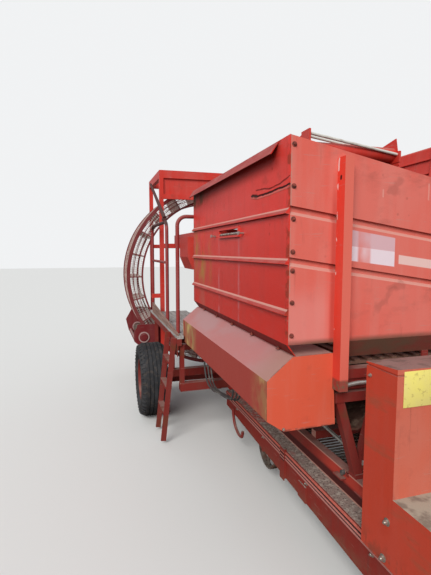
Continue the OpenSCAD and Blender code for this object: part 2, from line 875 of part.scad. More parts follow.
// Each leg: its foot, and the tops of its two arms
legs = [[-293, -418, -190], [293, 170, 640]];
arm_w = [44, 38];
leg_foot = [25, 30, 22];
boom_x = 862;
boom_z = 1010;
boom_pin_r = 18;
boom_pin = [35, 480];
boom_ear_t = 12;
boom_ear_out = 34;
ram_y = boom_y0 - 82;
ram_base = [800, 640];
ram_pin_r = 15;
ram_ear_y = [-43, 31];
module leg(foot_x, tops, y) {
    for (i = [0, 1])
        bar(
            [foot_x, y, rail_top_z + 12 + 4 * i], [tops[i], y, tie_z[0] + 18 + i],
            arm_w[i], arm_w[i]
        );
    block(
        [foot_x - leg_foot.x, y - leg_foot.y, rail_top_z],
        [foot_x + leg_foot.x, y + leg_foot.y, rail_top_z + leg_foot.z]
    );
}
module bunker_end_frame() {
    block([beam_x[0], 0, beam_z[1]], [beam_x[1], beam_d, beam_z[2]]);
    block([beam_x[0], 12, beam_z[0]], [beam_x[1] - 40, beam_d - 12, beam_z[1] + 1]);
    round_x(
        [beam_x[0], beam_d / 2, beam_z[0] + 2 - beam_tube_d / 2],
        beam_tube_d, beam_x[1] - beam_x[0] - 10
    );
    block([beam_x[0], 0, tie_z[0]], [beam_x[1], beam_d, tie_z[1]]);
    block([beam_x[1] - 50, 0, tie_z[0]], [beam_x[1], beam_d, bunker_low]);
    for (x = flange_tab_x)
        block(
            [x, beam_d / 2 + flange_tab_y[0], beam_z[2] - 1],
            [x + 40, beam_d / 2 + flange_tab_y[1], flange_low]
        );
    for (l = legs)
        leg(l[0], [l[1], l[2]], beam_d / 2);
}
module bunker_subframe() color(dark_red) placed() {
    translate([0, bunker_y0, 0])
        bunker_end_frame();
    translate([0, bunker_y1, 0])
        mirror([0, 1, 0])
            bunker_end_frame();
    block([beam_x[1] - 60, bunker_y0 + 5, low_rail_z], [beam_x[1] - 1, bunker_y1 - 5, tie_z[0] + 1]);
}

// Ears beside and under the bunker frame's low rail, for the boom and for its cylinder
module boom_brackets() color(dark_red) placed() {
    for (y = [boom_y0 - 5 - boom_ear_t, boom_y0 + boom_w + 5])
        block(
            [beam_x[1] - 1 + gap, y, low_rail_z + 2],
            [boom_x + boom_ear_out, y + boom_ear_t, boom_z + boom_ear_out]
        );
    round_y(
        [boom_x, boom_y0 - 3 - boom_ear_t, boom_z], 2 * boom_pin_r,
        boom_w + 6 + 2 * boom_ear_t
    );
    for (y = ram_ear_y)
        block(
            [beam_x[1] - 45, ram_y + y, ram_base.y - 30],
            [ram_base.x + 30, ram_y + y + boom_ear_t, low_rail_z - gap]
        );
    round_y(
        [ram_base.x, ram_y + ram_ear_y[0] + 2, ram_base.y], 2 * ram_pin_r,
        ram_ear_y[1] - ram_ear_y[0] + boom_ear_t - 4
    );
}

// Channel post on the bunker's front wall
post_out = 60;
post_z = [1006, 2090];
module bunker_post() color(orange_red) placed()
    difference() {
        block([post_x[0], bunker_y0 - post_out, post_z[0]], [post_x[1], bunker_y0, post_z[1]]);
        block(
            [post_x[0] + 5, bunker_y0 - post_out + 5, post_z[0] - 1],
            [post_x[1] - 5, bunker_y0 + 1, post_z[1] - 5]
        );
    }

// Filling conveyor: side boards, belt, end rollers and the two tubes over its mouth
mouth_tube_d = 15;
cleat_pitch = 210;
mouth_right = [fill_x[0], 2297];
mouth_left = [fill_x[1], 2219];
module filling_conveyor() color(red) placed() {
    translate([0, fill_rear.x, fill_rear.y])
        rotate([-fill_a, 0, 0]) {
            for (x = [fill_x[0], fill_x[1] - sheet_t])
                block([x, -fill_l, -fill_h / 2], [x + sheet_t, 0, fill_h / 2]);
            block([fill_x[0], 60 - fill_l, -6], [fill_x[1], -60, 6]);
            for (y = [-50, 50 - fill_l])
                round_x([fill_x[0], y, 0], 80, fill_x[1] - fill_x[0]);
            for (y = [140 - fill_l:cleat_pitch:-140])
                block([fill_x[0] + 30, y, 5], [fill_x[1] - 30, y + 10, 48]);
        }
    for (y = [fill_front.x, fill_front.x + 45])
        rod([mouth_right.x, y, mouth_right.y], [mouth_left.x, y, mouth_left.y], mouth_tube_d);
    block(
        [fill_x[0] - 4, fill_front.x - 20, fill_front.y - 30],
        [fill_x[0] + 8, fill_front.x + 65, mouth_right.y + 18]
    );
    block(
        [fill_x[1] - 8, fill_front.x - 20, fill_front.y - 60],
        [fill_x[1] + 4, fill_front.x + 65, mouth_left.y + 18]
    );
}

// Picking table: side boards, belt and legs
table_x = 430;
table_y = [fill_rear.x + 8, 1640];
table_z = [1752, 1880];
table_board = 24;
table_leg = 34;
table_pitch = 64;
module picking_table() color(red) placed() {
    for (side = [-1, 1])
        sided(side) {
            block(
                [-table_x, table_y[0], table_z[0]],
                [-table_x + table_board, table_y[1], table_z[1]]
            );
            block(
                [-table_x, outriggers[1] - table_leg / 2, rail_top_z],
                [-table_x + table_leg, outriggers[1] + table_leg / 2, table_z[0]]
            );
        }
    block([-table_x, table_y[0] + 40, 1800], [table_x, table_y[1] - 40, 1812]);
    for (y = [table_y[0] + 70:table_pitch:table_y[1] - 80])
        block([-table_x + 10, y, 1811], [table_x - 10, y + 16, 1820]);
    for (y = [table_y[0] + 45, table_y[1] - 45])
        round_x([-table_x, y, 1790], 70, 2 * table_x);
}

// Open hopper for stones beside the table
box_x = [-600, -table_x];
box_y = [60, 460];
box_z = [1470, 1600, 1812];
box_taper = 55;
function hopper(in) = [
    [box_x[0] + in, box_z[2] + in], [box_x[0] + in, box_z[1]],
    [box_x[0] + box_taper + in, box_z[0] + in], [box_x[1] - gap - in, box_z[0] + in],
    [box_x[1] - gap - in, box_z[2] + in]
];
module stone_box() color(dark_red) placed()
    difference() {
        prism_y(hopper(0), box_y[0], box_y[1]);
        prism_y(hopper(sheet_t), box_y[0] + sheet_t, box_y[1] - sheet_t);
    }

// Portal frames before and behind the ring
panel_z = [2332, 2519];
tube_z = [2278, 2332];
table_bar_z = 1702;
rear_portal_y = 1590;
rear_low_z = [380, 450];
module portal_posts(y, z) {
    for (side = [-1, 1])
        sided(side)
            block([-portal_x, y, z], [-post_in, y + post_w, portal_top]);
    block([-post_in, y, panel_z[1]], [post_in, y + post_w, portal_top]);
    block([-post_in, y, table_bar_z], [post_in, y + post_w, table_z[0]]);
}
module portal_front() color(red) placed() {
    portal_posts(portal_y, rail_top_z);
    block([-post_in, portal_y + 25, panel_z[0]], [post_in, portal_y + 31, panel_z[1]]);
    block([-post_in, portal_y, tube_z[0]], [post_in, portal_y + post_w, tube_z[1]]);
    for (side = [-1, 1])
        sided(side)
            block([-deck_x, portal_y, 1105], [-portal_x, portal_y + post_w, 1153]);
}
module portal_rear() color(red) placed() {
    portal_posts(rear_portal_y, rear_low_z[0]);
    block(
        [-post_in, rear_portal_y, rear_low_z[0]],
        [post_in, rear_portal_y + post_w, rear_low_z[1]]
    );
    for (side = [-1, 1])
        sided(side) {
            block(
                [-portal_x, portal_y + post_w, panel_z[1]],
                [-post_in, rear_portal_y, portal_top]
            );
            block(
                [-rail_in, rear_portal_y, rear_low_z[1]],
                [
                    -rail_in + 30, rear_portal_y + post_w,
                    haulm_web_front_z + (rear_portal_y - haulm_web_front_y) * tan(haulm_web_a)
                        - board_h / 2 / cos(haulm_web_a) - gap
                ]
            );
        }
}

// Ring elevator: hoops, radial bars and pocket slats
hoop_t = 12;
hoop_w = 42;
inner_hoop_w = 22;
skin_bands = 3;
module hoop(r0, r1, y0, t) {
    translate([0, y0 + t, 0])
        rotate([90, 0, 0])
            rotate_extrude($fn = 144)
                translate([r0, 0])
                    square([r1 - r0, t]);
}
module ring_elevator() color(dark_red) placed()
    translate([0, 0, ring_z]) {
        for (y = [ring_y0, ring_y1 - hoop_t]) {
            hoop(ring_r - hoop_w, ring_r, y, hoop_t);
            hoop(ring_in, ring_in + inner_hoop_w, y, hoop_t);
            hoop(ring_in + 74, ring_in + 82, y + 2, 8);
            hoop(ring_in + 114, ring_in + 122, y + 2, 8);
        }
        for (i = [1:skin_bands])
            hoop(ring_r - 12, ring_r - 4, ring_y0 + i * ring_w / (skin_bands + 1) - 5, 10);
        for (k = [0:ring_pockets - 1])
            rotate([0, k * 360 / ring_pockets, 0]) {
                block(
                    [ring_in + 8, ring_y0 + hoop_t - 2, -3],
                    [ring_r - 10, ring_y1 - hoop_t + 2, 3]
                );
                for (y = [ring_y0, ring_y1 - hoop_t])
                    block([ring_in + 4, y + 1, -6], [ring_r - 6, y + hoop_t - 1, 6]);
            }
    }

// Carrying rollers under the ring and their bracket plates
roller_a = 36.634;
roller_reach = ring_r + ring_roller_r + gap;
roller_x = roller_reach * cos(roller_a);
roller_z = ring_z - roller_reach * sin(roller_a);
roller_pin_r = 15;
bracket_t = 8;
bracket_y = 830;
bracket_y1 = rear_portal_y - bracket_t;
roller_w = 44;
module ring_roller(side) {
    sided(side)
        translate([-roller_x, 0, roller_z])
            difference() {
                union() {
                    round_y([0, ring_y0 + 4, 0], 2 * ring_roller_r, roller_w);
                    round_y([0, ring_y1 - 4 - roller_w, 0], 2 * ring_roller_r, roller_w);
                    round_y([0, bracket_y + bracket_t + 6, 0], 48, bracket_y1 - bracket_y - bracket_t - 12);
                }
                round_y([0, bracket_y, 0], 2 * (roller_pin_r + run_gap), bracket_y1 - bracket_y + 9);
            }
}
// Each bracket plate, from the roller's axis outwards and up; its inner end reaches the post
front_plate = [[-75, 157], [-85, 115], [-118, 70], [-118, -45], [-75, -88], [185, -88]];
rear_plate = [[15, 280], [-69, 259], [-153, 110], [-118, -45], [-75, -88], [185, -88]];
module bracket_plate(outline, top, y) {
    prism_y(
        concat(
            [[-post_in + 15, 560], [-post_in + 15, roller_z + top]],
            [for (p = outline) [p.x - roller_x, p.y + roller_z]]
        ),
        y, y + bracket_t
    );
}
module roller_bracket(side) {
    sided(side) {
        bracket_plate(front_plate, 157, bracket_y);
        bracket_plate(rear_plate, 250, bracket_y1);
        round_y([-roller_x, bracket_y, roller_z], 2 * roller_pin_r, bracket_y1 - bracket_y + bracket_t);
        round_y([-roller_x, bracket_y - 14, roller_z], 130, 15);
        round_y([-roller_x, bracket_y - 26, roller_z], 78, 14);
        round_y(
            [-roller_x - 93, bracket_y, roller_z - 45], 40, bracket_y1 - bracket_y + bracket_t
        );
        block([-portal_x, portal_y + post_w, 580], [-post_in, bracket_y + 2, 750]);
    }
}
module ring_roller_right() color(steel) placed() ring_roller(-1);
module ring_roller_left() color(steel) placed() ring_roller(1);
module roller_bracket_right() color(red) placed() roller_bracket(-1);
module roller_bracket_left() color(red) placed() roller_bracket(1);

// Standing platforms on both sides
deck_t = 25;
deck_rear = 930;
deck_step = bunker_y1 + 12;
strip_in = 822;
frame_h = 60;
frame_z = deck_z - deck_t - frame_h;
upright_x = [812, 850];
module platform_frame() color(dark_red) placed()
    for (side = [-1, 1])
        sided(side) {
            block([-deck_x, deck_front, frame_z], [-deck_x + 40, deck_rear, frame_z + frame_h]);
            block([-deck_in - 40, deck_step, frame_z], [-deck_in, portal_y - 12, frame_z + frame_h]);
            for (y = [deck_step, 20, portal_y - 52])
                block([-deck_x + 40, y, frame_z], [-deck_in - 40, y + 40, frame_z + frame_h]);
            for (y = outriggers)
                block(
                    [-upright_x[1], y - 20, rail_top_z],
                    [-upright_x[0], y + 20, frame_z]
                );
            prism_x(
                [[deck_front, frame_z], [deck_front + 120, frame_z], [deck_front, frame_z - 95]],
                -deck_x, -deck_x + 6
            );
        }
plank_gap = 3;
planks = 3;
plank_w = (deck_x - deck_in - (planks - 1) * plank_gap) / planks;
module platform_boards() color(timber) placed()
    for (side = [-1, 1])
        sided(side) {
            for (i = [0:planks - 1])
                block(
                    [-deck_x + i * (plank_w + plank_gap), deck_step, deck_z - deck_t],
                    [
                        -deck_x + i * (plank_w + plank_gap) + plank_w, portal_y - 12, deck_z
                    ]
                );
            block(
                [-deck_x, portal_y - 12 + plank_gap, deck_z - deck_t],
                [-portal_x - 6, deck_rear, deck_z]
            );
            block([-deck_x, deck_front, deck_z - deck_t], [-strip_in, deck_step - plank_gap, deck_z]);
        }
kick_t = 18;
kick_z = [958, 1055];
module kick_boards() color([0.62, 0.45, 0.27]) placed()
    for (side = [-1, 1])
        sided(side)
            prism_x(
                [
                    [deck_front + 15, deck_z], [portal_y - 6, deck_z], [portal_y - 6, kick_z[1]],
                    [deck_front + 15, kick_z[0]]
                ],
                -deck_x, -deck_x + kick_t
            );

// Handrails: a hoop along each platform, and a hoop behind the bunker
rail_x = -deck_x + kick_t + rail_d / 2 + gap;
hoop_y = [-90, 900];
mid_rail_z = 1550;
mid_rail_d = 28;
rear_hoop_y = bunker_y1 + 45;
rear_hoop_in = -560;
rear_hoop_top = 1962;
module handrails() color(red) placed()
    for (side = [-1, 1])
        sided(side) {
            bent_tube(
                [
                    [rail_x, hoop_y[0], deck_z], [rail_x, hoop_y[0], rail_top],
                    [rail_x, hoop_y[1], rail_top], [rail_x, hoop_y[1], deck_z]
                ],
                rail_d, 90
            );
            rod([rail_x, hoop_y[0], mid_rail_z], [rail_x, hoop_y[1], mid_rail_z], mid_rail_d);
            bent_tube(
                [
                    [rail_x, rear_hoop_y, deck_z], [rail_x, rear_hoop_y, rear_hoop_top],
                    [rear_hoop_in, rear_hoop_y, rear_hoop_top], [rear_hoop_in, rear_hoop_y, deck_z]
                ],
                rail_d, 80
            );
        }

// Ladder at the right platform's front end
ladder_y = [deck_front + 10, -440];
ladder_foot = [-1006, 30];
ladder_head = [-906, 925];
ladder_side = [16, 44];
ladder_lug = [34, 5, 50];
rung_z = [270, 490, 710];
rung = [26, 12];
function ladder_at(z) =
    ladder_foot.x + (ladder_head.x - ladder_foot.x) * (z - ladder_foot.y) / (ladder_head.y - ladder_foot.y);
module ladder() color(dark_red) placed() {
    for (y = ladder_y) {
        bar(
            [ladder_foot.x, y, ladder_foot.y], [ladder_head.x, y, ladder_head.y],
            ladder_side[0], ladder_side[1]
        );
        block(
            [-deck_x - ladder_lug.x, y - ladder_lug.y, ladder_head.y - ladder_lug.z],
            [-deck_x, y + ladder_lug.y, ladder_head.y - 2]
        );
    }
    for (z = rung_z)
        block(
            [ladder_at(z) - rung[0], ladder_y[0], z - rung[1]],
            [ladder_at(z) + rung[0], ladder_y[1], z + rung[1]]
        );
}

// Lever on the front end of the right handrail
lever_y = [5, 65];
lever_tip = [-900, 600, 2415];
lever_d = [40, 26];
module control_lever() color(red) placed() {
    low = rail_top + rail_d / 2 + gap;
    start = [rail_x, (lever_y[0] + lever_y[1]) / 2, low + 24];
    block([rail_x - 24, lever_y[0], low], [rail_x + 24, lever_y[1], low + 22]);
    towards(start, lever_tip)
        cylinder(d1 = lever_d[0], d2 = lever_d[1], h = norm(lever_tip - start));
}

// Drawbar with its pivot boss, box tube, hitch eye and the lug for its cylinder
lug = [-98, -560];
lug_pin_r = 12;
ram2_z = drawbar_z + 42;
ram2_base = [395, -3362];
module drawbar() color(red) placed()
    translate([drawbar_x, drawbar_y, 0])
        difference() {
            union() {
                translate([0, 0, drawbar_z - drawbar_h / 2])
                    cylinder(r = 62, h = drawbar_h);
                prism_x(
                    [
                        [-20, drawbar_z - drawbar_h / 2], [-20, drawbar_z + drawbar_h / 2],
                        [-drawbar_l + 330, drawbar_z + drawbar_h / 2],
                        [-drawbar_l + 60, drawbar_z + 26], [-drawbar_l + 60, drawbar_z - 26],
                        [-drawbar_l + 330, drawbar_z - drawbar_h / 2]
                    ],
                    -50, 50
                );
                block(
                    [-35, -drawbar_l + 30, drawbar_z - eye_t / 2],
                    [35, -drawbar_l + 80, drawbar_z + eye_t / 2]
                );
                translate([0, -drawbar_l, drawbar_z - eye_t / 2])
                    cylinder(r = eye_out, h = eye_t);
                block([lug.x - 30, lug.y - 30, drawbar_z - 10], [-50, lug.y + 30, drawbar_z + 10]);
                translate([lug.x, lug.y, drawbar_z])
                    cylinder(r = lug_pin_r, h = 70);
            }
            translate([0, 0, drawbar_z - drawbar_h / 2 - 1])
                cylinder(r = pivot_r + run_gap, h = drawbar_h + 2);
            translate([0, -drawbar_l, drawbar_z - eye_t])
                cylinder(r = eye_r, h = 2 * eye_t);
        }

// Cylinders: a barrel with a bored eye at its base, and a rod with an eye at its end
module barrel(l, r, pin, eye_w, rod_r) {
    rotate([0, 90, 0])
        difference() {
            union() {
                translate([0, 0, 34])
                    cylinder(r = r, h = l - 34);
                translate([0, 0, 0])
                    rotate([90, 0, 0])
                        translate([0, 0, -eye_w / 2])
                            cylinder(r = pin + 14, h = eye_w);
                translate([-pin - 6, -eye_w / 2, 0])
                    cube([2 * pin + 12, eye_w, 40]);
            }
            translate([0, 0, 60])
                cylinder(r = rod_r + gap, h = l);
            rotate([90, 0, 0])
                translate([0, 0, -eye_w])
                    cylinder(r = pin + run_gap, h = 2 * eye_w);
        }
}
module piston_rod(from, to, r, hole, eye_w) {
    rotate([0, 90, 0])
        difference() {
            union() {
                translate([0, 0, from])
                    cylinder(r = r, h = to - from - hole - 4);
                translate([0, 0, to])
                    rotate([90, 0, 0])
                        translate([0, 0, -eye_w / 2])
                            cylinder(r = hole + 12, h = eye_w);
            }
            translate([0, 0, to])
                rotate([90, 0, 0])
                    translate([0, 0, -eye_w])
                        cylinder(r = hole, h = 2 * eye_w);
        }
}
lug_at = [drawbar_x + lug.x, drawbar_y + lug.y];
ram2_l = norm(lug_at - ram2_base);
ram2_a = atan2(lug_at.y - ram2_base.y, lug_at.x - ram2_base.x);
module drawbar_barrel() color(black) placed()
    translate([ram2_base.x, ram2_base.y, ram2_z])
        rotate([0, 0, ram2_a])
            rotate([90, 0, 0])
                barrel(430, 30, ram_pin_r, 30, 17);
module drawbar_rod() color(steel) placed()
    translate([ram2_base.x, ram2_base.y, ram2_z])
        rotate([0, 0, ram2_a])
            rotate([90, 0, 0])
                piston_rod(150, ram2_l, 17, 24, 26);

// Parking jack on the drawbar
jack_dx = 98;
jack_y = -950;
jack_r = 28;
jack_z = [385, 880];
jack_top = 575;
module jack_tube() color(steel) placed()
    translate([drawbar_x + jack_dx, drawbar_y + jack_y, 0])
        difference() {
            union() {
                translate([0, 0, jack_z[0]])
                    cylinder(r = 38, h = jack_z[1] - jack_z[0]);
                block([-jack_dx + 50, -35, drawbar_z - 45], [0, 35, drawbar_z + 45]);
            }
            translate([0, 0, jack_z[0] - 1])
                cylinder(r = jack_r + run_gap, h = jack_z[1] - jack_z[0] - 9);
        }
module jack_leg() color(steel) placed()
    translate([drawbar_x + jack_dx, drawbar_y + jack_y, 0]) {
        cylinder(r = 95, h = 12);
        cylinder(r = jack_r, h = jack_top);
    }

// Input gearbox with the shaft stub that the tractor's drive shaft pushes onto
stub_r = 17.4;
stub_l = 90;
gear_x = -20;
gear_z = 720;
module gearbox() color(dark_red) placed() {
    top = rail_top_z + front_beam_h;
    block([gear_x - 90, front_beam_y - 20, top], [gear_x + 90, front_beam_y + 130, top + 14]);
    block([gear_x - 75, front_beam_y - 10, top], [gear_x + 75, front_beam_y + 120, gear_z + 85]);
    round_y([gear_x, front_beam_y - 60, gear_z], 120, 60);
    round_y([gear_x, front_beam_y - 60 - stub_l, gear_z], 2 * stub_r, stub_l);
    round_y([gear_x, front_beam_y + 110, gear_z], 70, guard_y[0] - front_beam_y - 110);
}

// Sheet guards over the drive at the right front
guard_x = [-438, 60];
guard_y = [-2850, -2664];
guard_z = [377, 677, 1193];
guard_front = -3450;
guard_t = 4;
module guard_upper() color(orange_red) placed() {
    block([guard_x[0], guard_y[0], guard_z[1]], [guard_x[1], guard_y[1], guard_z[2] - 14]);
    block([guard_x[0] + 4, guard_y[0] + 4, guard_z[2] - 14], [guard_x[1] - 4, guard_y[1] - 4, guard_z[2]]);
}
module guard_lower() color(orange_red) placed() {
    inner = -150;
    block([guard_x[0], guard_front, guard_z[0]], [guard_x[0] + guard_t, guard_y[1], guard_z[1]]);
    block([guard_x[0], guard_front, guard_z[1] - guard_t], [inner, guard_y[1], guard_z[1]]);
    block([guard_x[0], guard_front, 612], [inner, guard_front + guard_t, guard_z[1]]);
    block([guard_x[0], guard_y[1] - guard_t, rail_top_z + gap], [inner, guard_y[1], guard_z[1]]);
    for (y = [-3250, -2980, -2720])
        round_x([guard_x[0], y, rail_top_z - 55], 30, -rail_out - guard_x[0] - gap);
}

// Unloading boom, folded up beside the bunker
boom_d = 120;
cheek_w = 8;
module unloading_boom() color(red) placed()
    translate([boom_x, 0, boom_z])
        rotate([0, boom_lean, 0])
            difference() {
                union() {
                    for (y = [boom_y0, boom_y0 + boom_w - cheek_w])
                        prism_y(
                            [
                                [-boom_d / 2, 30], [-30, -50], [30, -50], [boom_d / 2, 30],
                                [boom_d / 2, boom_l - 190], [-boom_d / 2 + 20, boom_l],
                                [-boom_d / 2, boom_l]
                            ],
                            y, y + cheek_w
                        );
                    for (x = [-36, 26])
                        block([x, boom_y0 + 20, 60], [x + 10, boom_y0 + boom_w - 20, boom_l - 150]);
                    for (z = [70, boom_l - 160])
                        round_y([0, boom_y0 + cheek_w - 1, z], 64, boom_w - 2 * cheek_w + 2);
                    for (z = [150:110:boom_l - 200])
                        block([-52, boom_y0 + 30, z], [-36, boom_y0 + boom_w - 30, z + 8]);
                    round_y([boom_pin.x, boom_y0 - 46, boom_pin.y], 30, 48);
                }
                round_y([0, boom_y0 - 5, 0], 2 * (boom_pin_r + run_gap), boom_w + 10);
            }

function boom_at(p) = [
    boom_x + p.x * cos(boom_lean) + p.y * sin(boom_lean),
    boom_z - p.x * sin(boom_lean) + p.y * cos(boom_lean)
];
ram_end = boom_at(boom_pin);
ram_l = norm(ram_end - ram_base);
ram_a = atan2(ram_end.y - ram_base.y, ram_end.x - ram_base.x);
module boom_barrel() color(black) placed()
    translate([ram_base.x, ram_y, ram_base.y])
        rotate([0, -ram_a, 0])
            barrel(560, 28, ram_pin_r, 50, 15);
module boom_rod() color(steel) placed()
    translate([ram_base.x, ram_y, ram_base.y])
        rotate([0, -ram_a, 0])
            piston_rod(300, ram_l, 15, 16, 40);

frame_rails();
side_plate_right();
side_plate_left();
main_web();
haulm_web();
web_rollers();
haulm_web_frame();
digging_share();
coulter_frame();
disc_coulter_right();
disc_coulter_left();
ridge_roller();
guide_wheel();
axle();
tyre_right();
rim_right();
tyre_left();
rim_left();
bunker_wall_right();
bunker_wall_front();
bunker_wall_rear();
bunker_wall_left();
bunker_floor();
floor_housing();
bunker_subframe();
boom_brackets();
bunker_post();
filling_conveyor();
picking_table();
stone_box();
portal_front();
portal_rear();
ring_elevator();
ring_roller_right();
ring_roller_left();
roller_bracket_right();
roller_bracket_left();
platform_frame();
platform_boards();
kick_boards();
handrails();
ladder();
control_lever();
drawbar();
drawbar_barrel();
drawbar_rod();
jack_tube();
jack_leg();
gearbox();
guard_upper();
guard_lower();
unloading_boom();
boom_barrel();
boom_rod();
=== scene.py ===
# %% [markdown]
# # A trailed potato harvester
# The share at the front lifts one ridge. A long rod web carries the crop back
# under the machine, a big ring lifts it over the axle, and the picking table
# and the conveyor send it into the bunker on top. The frame that is loaded here
# holds every rigid piece at its real size. This lesson gives those pieces their
# worn paint, and adds what is too small or too fine for the frame.

# %% Load the frame
import math

import bmesh
import bpy
from mathutils import Matrix, Vector


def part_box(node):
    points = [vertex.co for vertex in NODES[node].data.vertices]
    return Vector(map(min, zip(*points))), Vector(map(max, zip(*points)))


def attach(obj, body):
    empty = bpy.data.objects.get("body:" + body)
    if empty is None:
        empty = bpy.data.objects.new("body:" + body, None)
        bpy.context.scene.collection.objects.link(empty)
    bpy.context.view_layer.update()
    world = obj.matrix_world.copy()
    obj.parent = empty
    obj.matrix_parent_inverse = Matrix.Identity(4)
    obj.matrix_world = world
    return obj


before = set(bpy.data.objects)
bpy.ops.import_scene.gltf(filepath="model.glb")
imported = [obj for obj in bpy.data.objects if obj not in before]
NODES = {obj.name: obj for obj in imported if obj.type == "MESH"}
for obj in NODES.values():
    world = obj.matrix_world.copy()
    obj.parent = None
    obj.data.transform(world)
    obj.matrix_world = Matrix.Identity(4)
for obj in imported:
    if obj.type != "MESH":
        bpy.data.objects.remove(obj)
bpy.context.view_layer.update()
print("pieces in the frame:", len(NODES))

# %% [markdown]
# The wheels' axle is the place to measure from on such a machine: everything
# before it has a lower Y, and everything behind it a higher one.

# %% Where the axle is
tyre_low, tyre_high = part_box("tyre_right")
AXLE_Y = (tyre_low.y + tyre_high.y) / 2
HUB_Z = (tyre_low.z + tyre_high.z) / 2
TYRE_RADIUS = (tyre_high.z - tyre_low.z) / 2
print("axle at y", round(AXLE_Y, 3), "tyre radius", round(TYRE_RADIUS, 3))


def from_axle(x, y, z):
    """A point measured from the axle's middle, on the ground."""
    return Vector((x, AXLE_Y + y, z))


# %% [markdown]
# The picture is taken from the right front corner, with the camera upright at
# eye height and tipped a little down. A lens of about 26 mm on a full frame
# gives the same steep perspective. The sensor's width counts along the longer
# side of the picture, which here is its height.

# %% Camera


def in_scene(name, data):
    """A new object in the scene."""
    made = bpy.data.objects.new(name, data)
    bpy.context.scene.collection.objects.link(made)
    return made


EYE = from_axle(-1.560, -4.130, 1.666)
TURN_RIGHT = math.radians(16.77)
TIP_DOWN = math.radians(5.11)

camera_data = bpy.data.cameras.new("camera")
camera_data.lens = 25.67
camera_data.sensor_width = 36
camera_data.clip_start = 0.05
camera = in_scene("camera", camera_data)
camera.location = EYE
camera.rotation_euler = (math.pi / 2 - TIP_DOWN, 0, -TURN_RIGHT)
bpy.context.scene.camera = camera
bpy.context.scene.view_settings.view_transform = "Standard"
print("camera at", [round(v, 3) for v in EYE])

# %% [markdown]
# Daylight comes in from the front left of the picture. One wide sun makes the
# soft shadows and a pale world fills them. The camera sees the world brighter
# than it lights the object, so that the background stays pale while the paint
# keeps its depth.

# %% Light
SUN_TOWARDS = Vector((-0.52, -0.70, 0.56))
SUN_STRENGTH = 2.85
SKY_STRENGTH = 0.58

sun_data = bpy.data.lights.new("daylight", "SUN")
sun_data.energy = SUN_STRENGTH
sun_data.angle = math.radians(35)
sun_data.color = (1.0, 0.98, 0.95)
sun = in_scene("daylight", sun_data)
sun.rotation_euler = SUN_TOWARDS.to_track_quat("Z", "Y").to_euler()

world = bpy.data.worlds.new("pale_room")
world.use_nodes = True
bpy.context.scene.world = world
world_tree = world.node_tree
fill = world_tree.nodes["Background"]
fill.inputs["Color"].default_value = (0.93, 0.96, 1.0, 1)
fill.inputs["Strength"].default_value = SKY_STRENGTH
seen = world_tree.nodes.new("ShaderNodeBackground")
seen.inputs["Color"].default_value = (0.88, 0.89, 0.90, 1)
rays = world_tree.nodes.new("ShaderNodeLightPath")
choose = world_tree.nodes.new("ShaderNodeMixShader")
world_tree.links.new(rays.outputs["Is Camera Ray"], choose.inputs[0])
world_tree.links.new(fill.outputs[0], choose.inputs[1])
world_tree.links.new(seen.outputs[0], choose.inputs[2])
world_tree.links.new(choose.outputs[0], world_tree.nodes["World Output"].inputs[0])
print("sun", SUN_STRENGTH, "sky", SKY_STRENGTH)

# %% [markdown]
# A worn finish is built up in layers, as on the real machine: paint, faded
# paint, dirt, rust and dust. Each layer is a mask between 0 and 1 that mixes a
# new colour, roughness and height over what is below. The class keeps the three
# running values and adds the nodes. Every mask is measured in metres in the
# frame, so a streak on a wall is as wide as it really is.

# %% A finish in layers


def tone(*levels):
    """A colour as it is seen on a screen, 0 to 255, in the scene's linear values."""
    shares = [level / 255 for level in levels]
    return (*[v / 12.92 if v <= 0.04045 else ((v + 0.055) / 1.055) ** 2.4 for v in shares], 1)


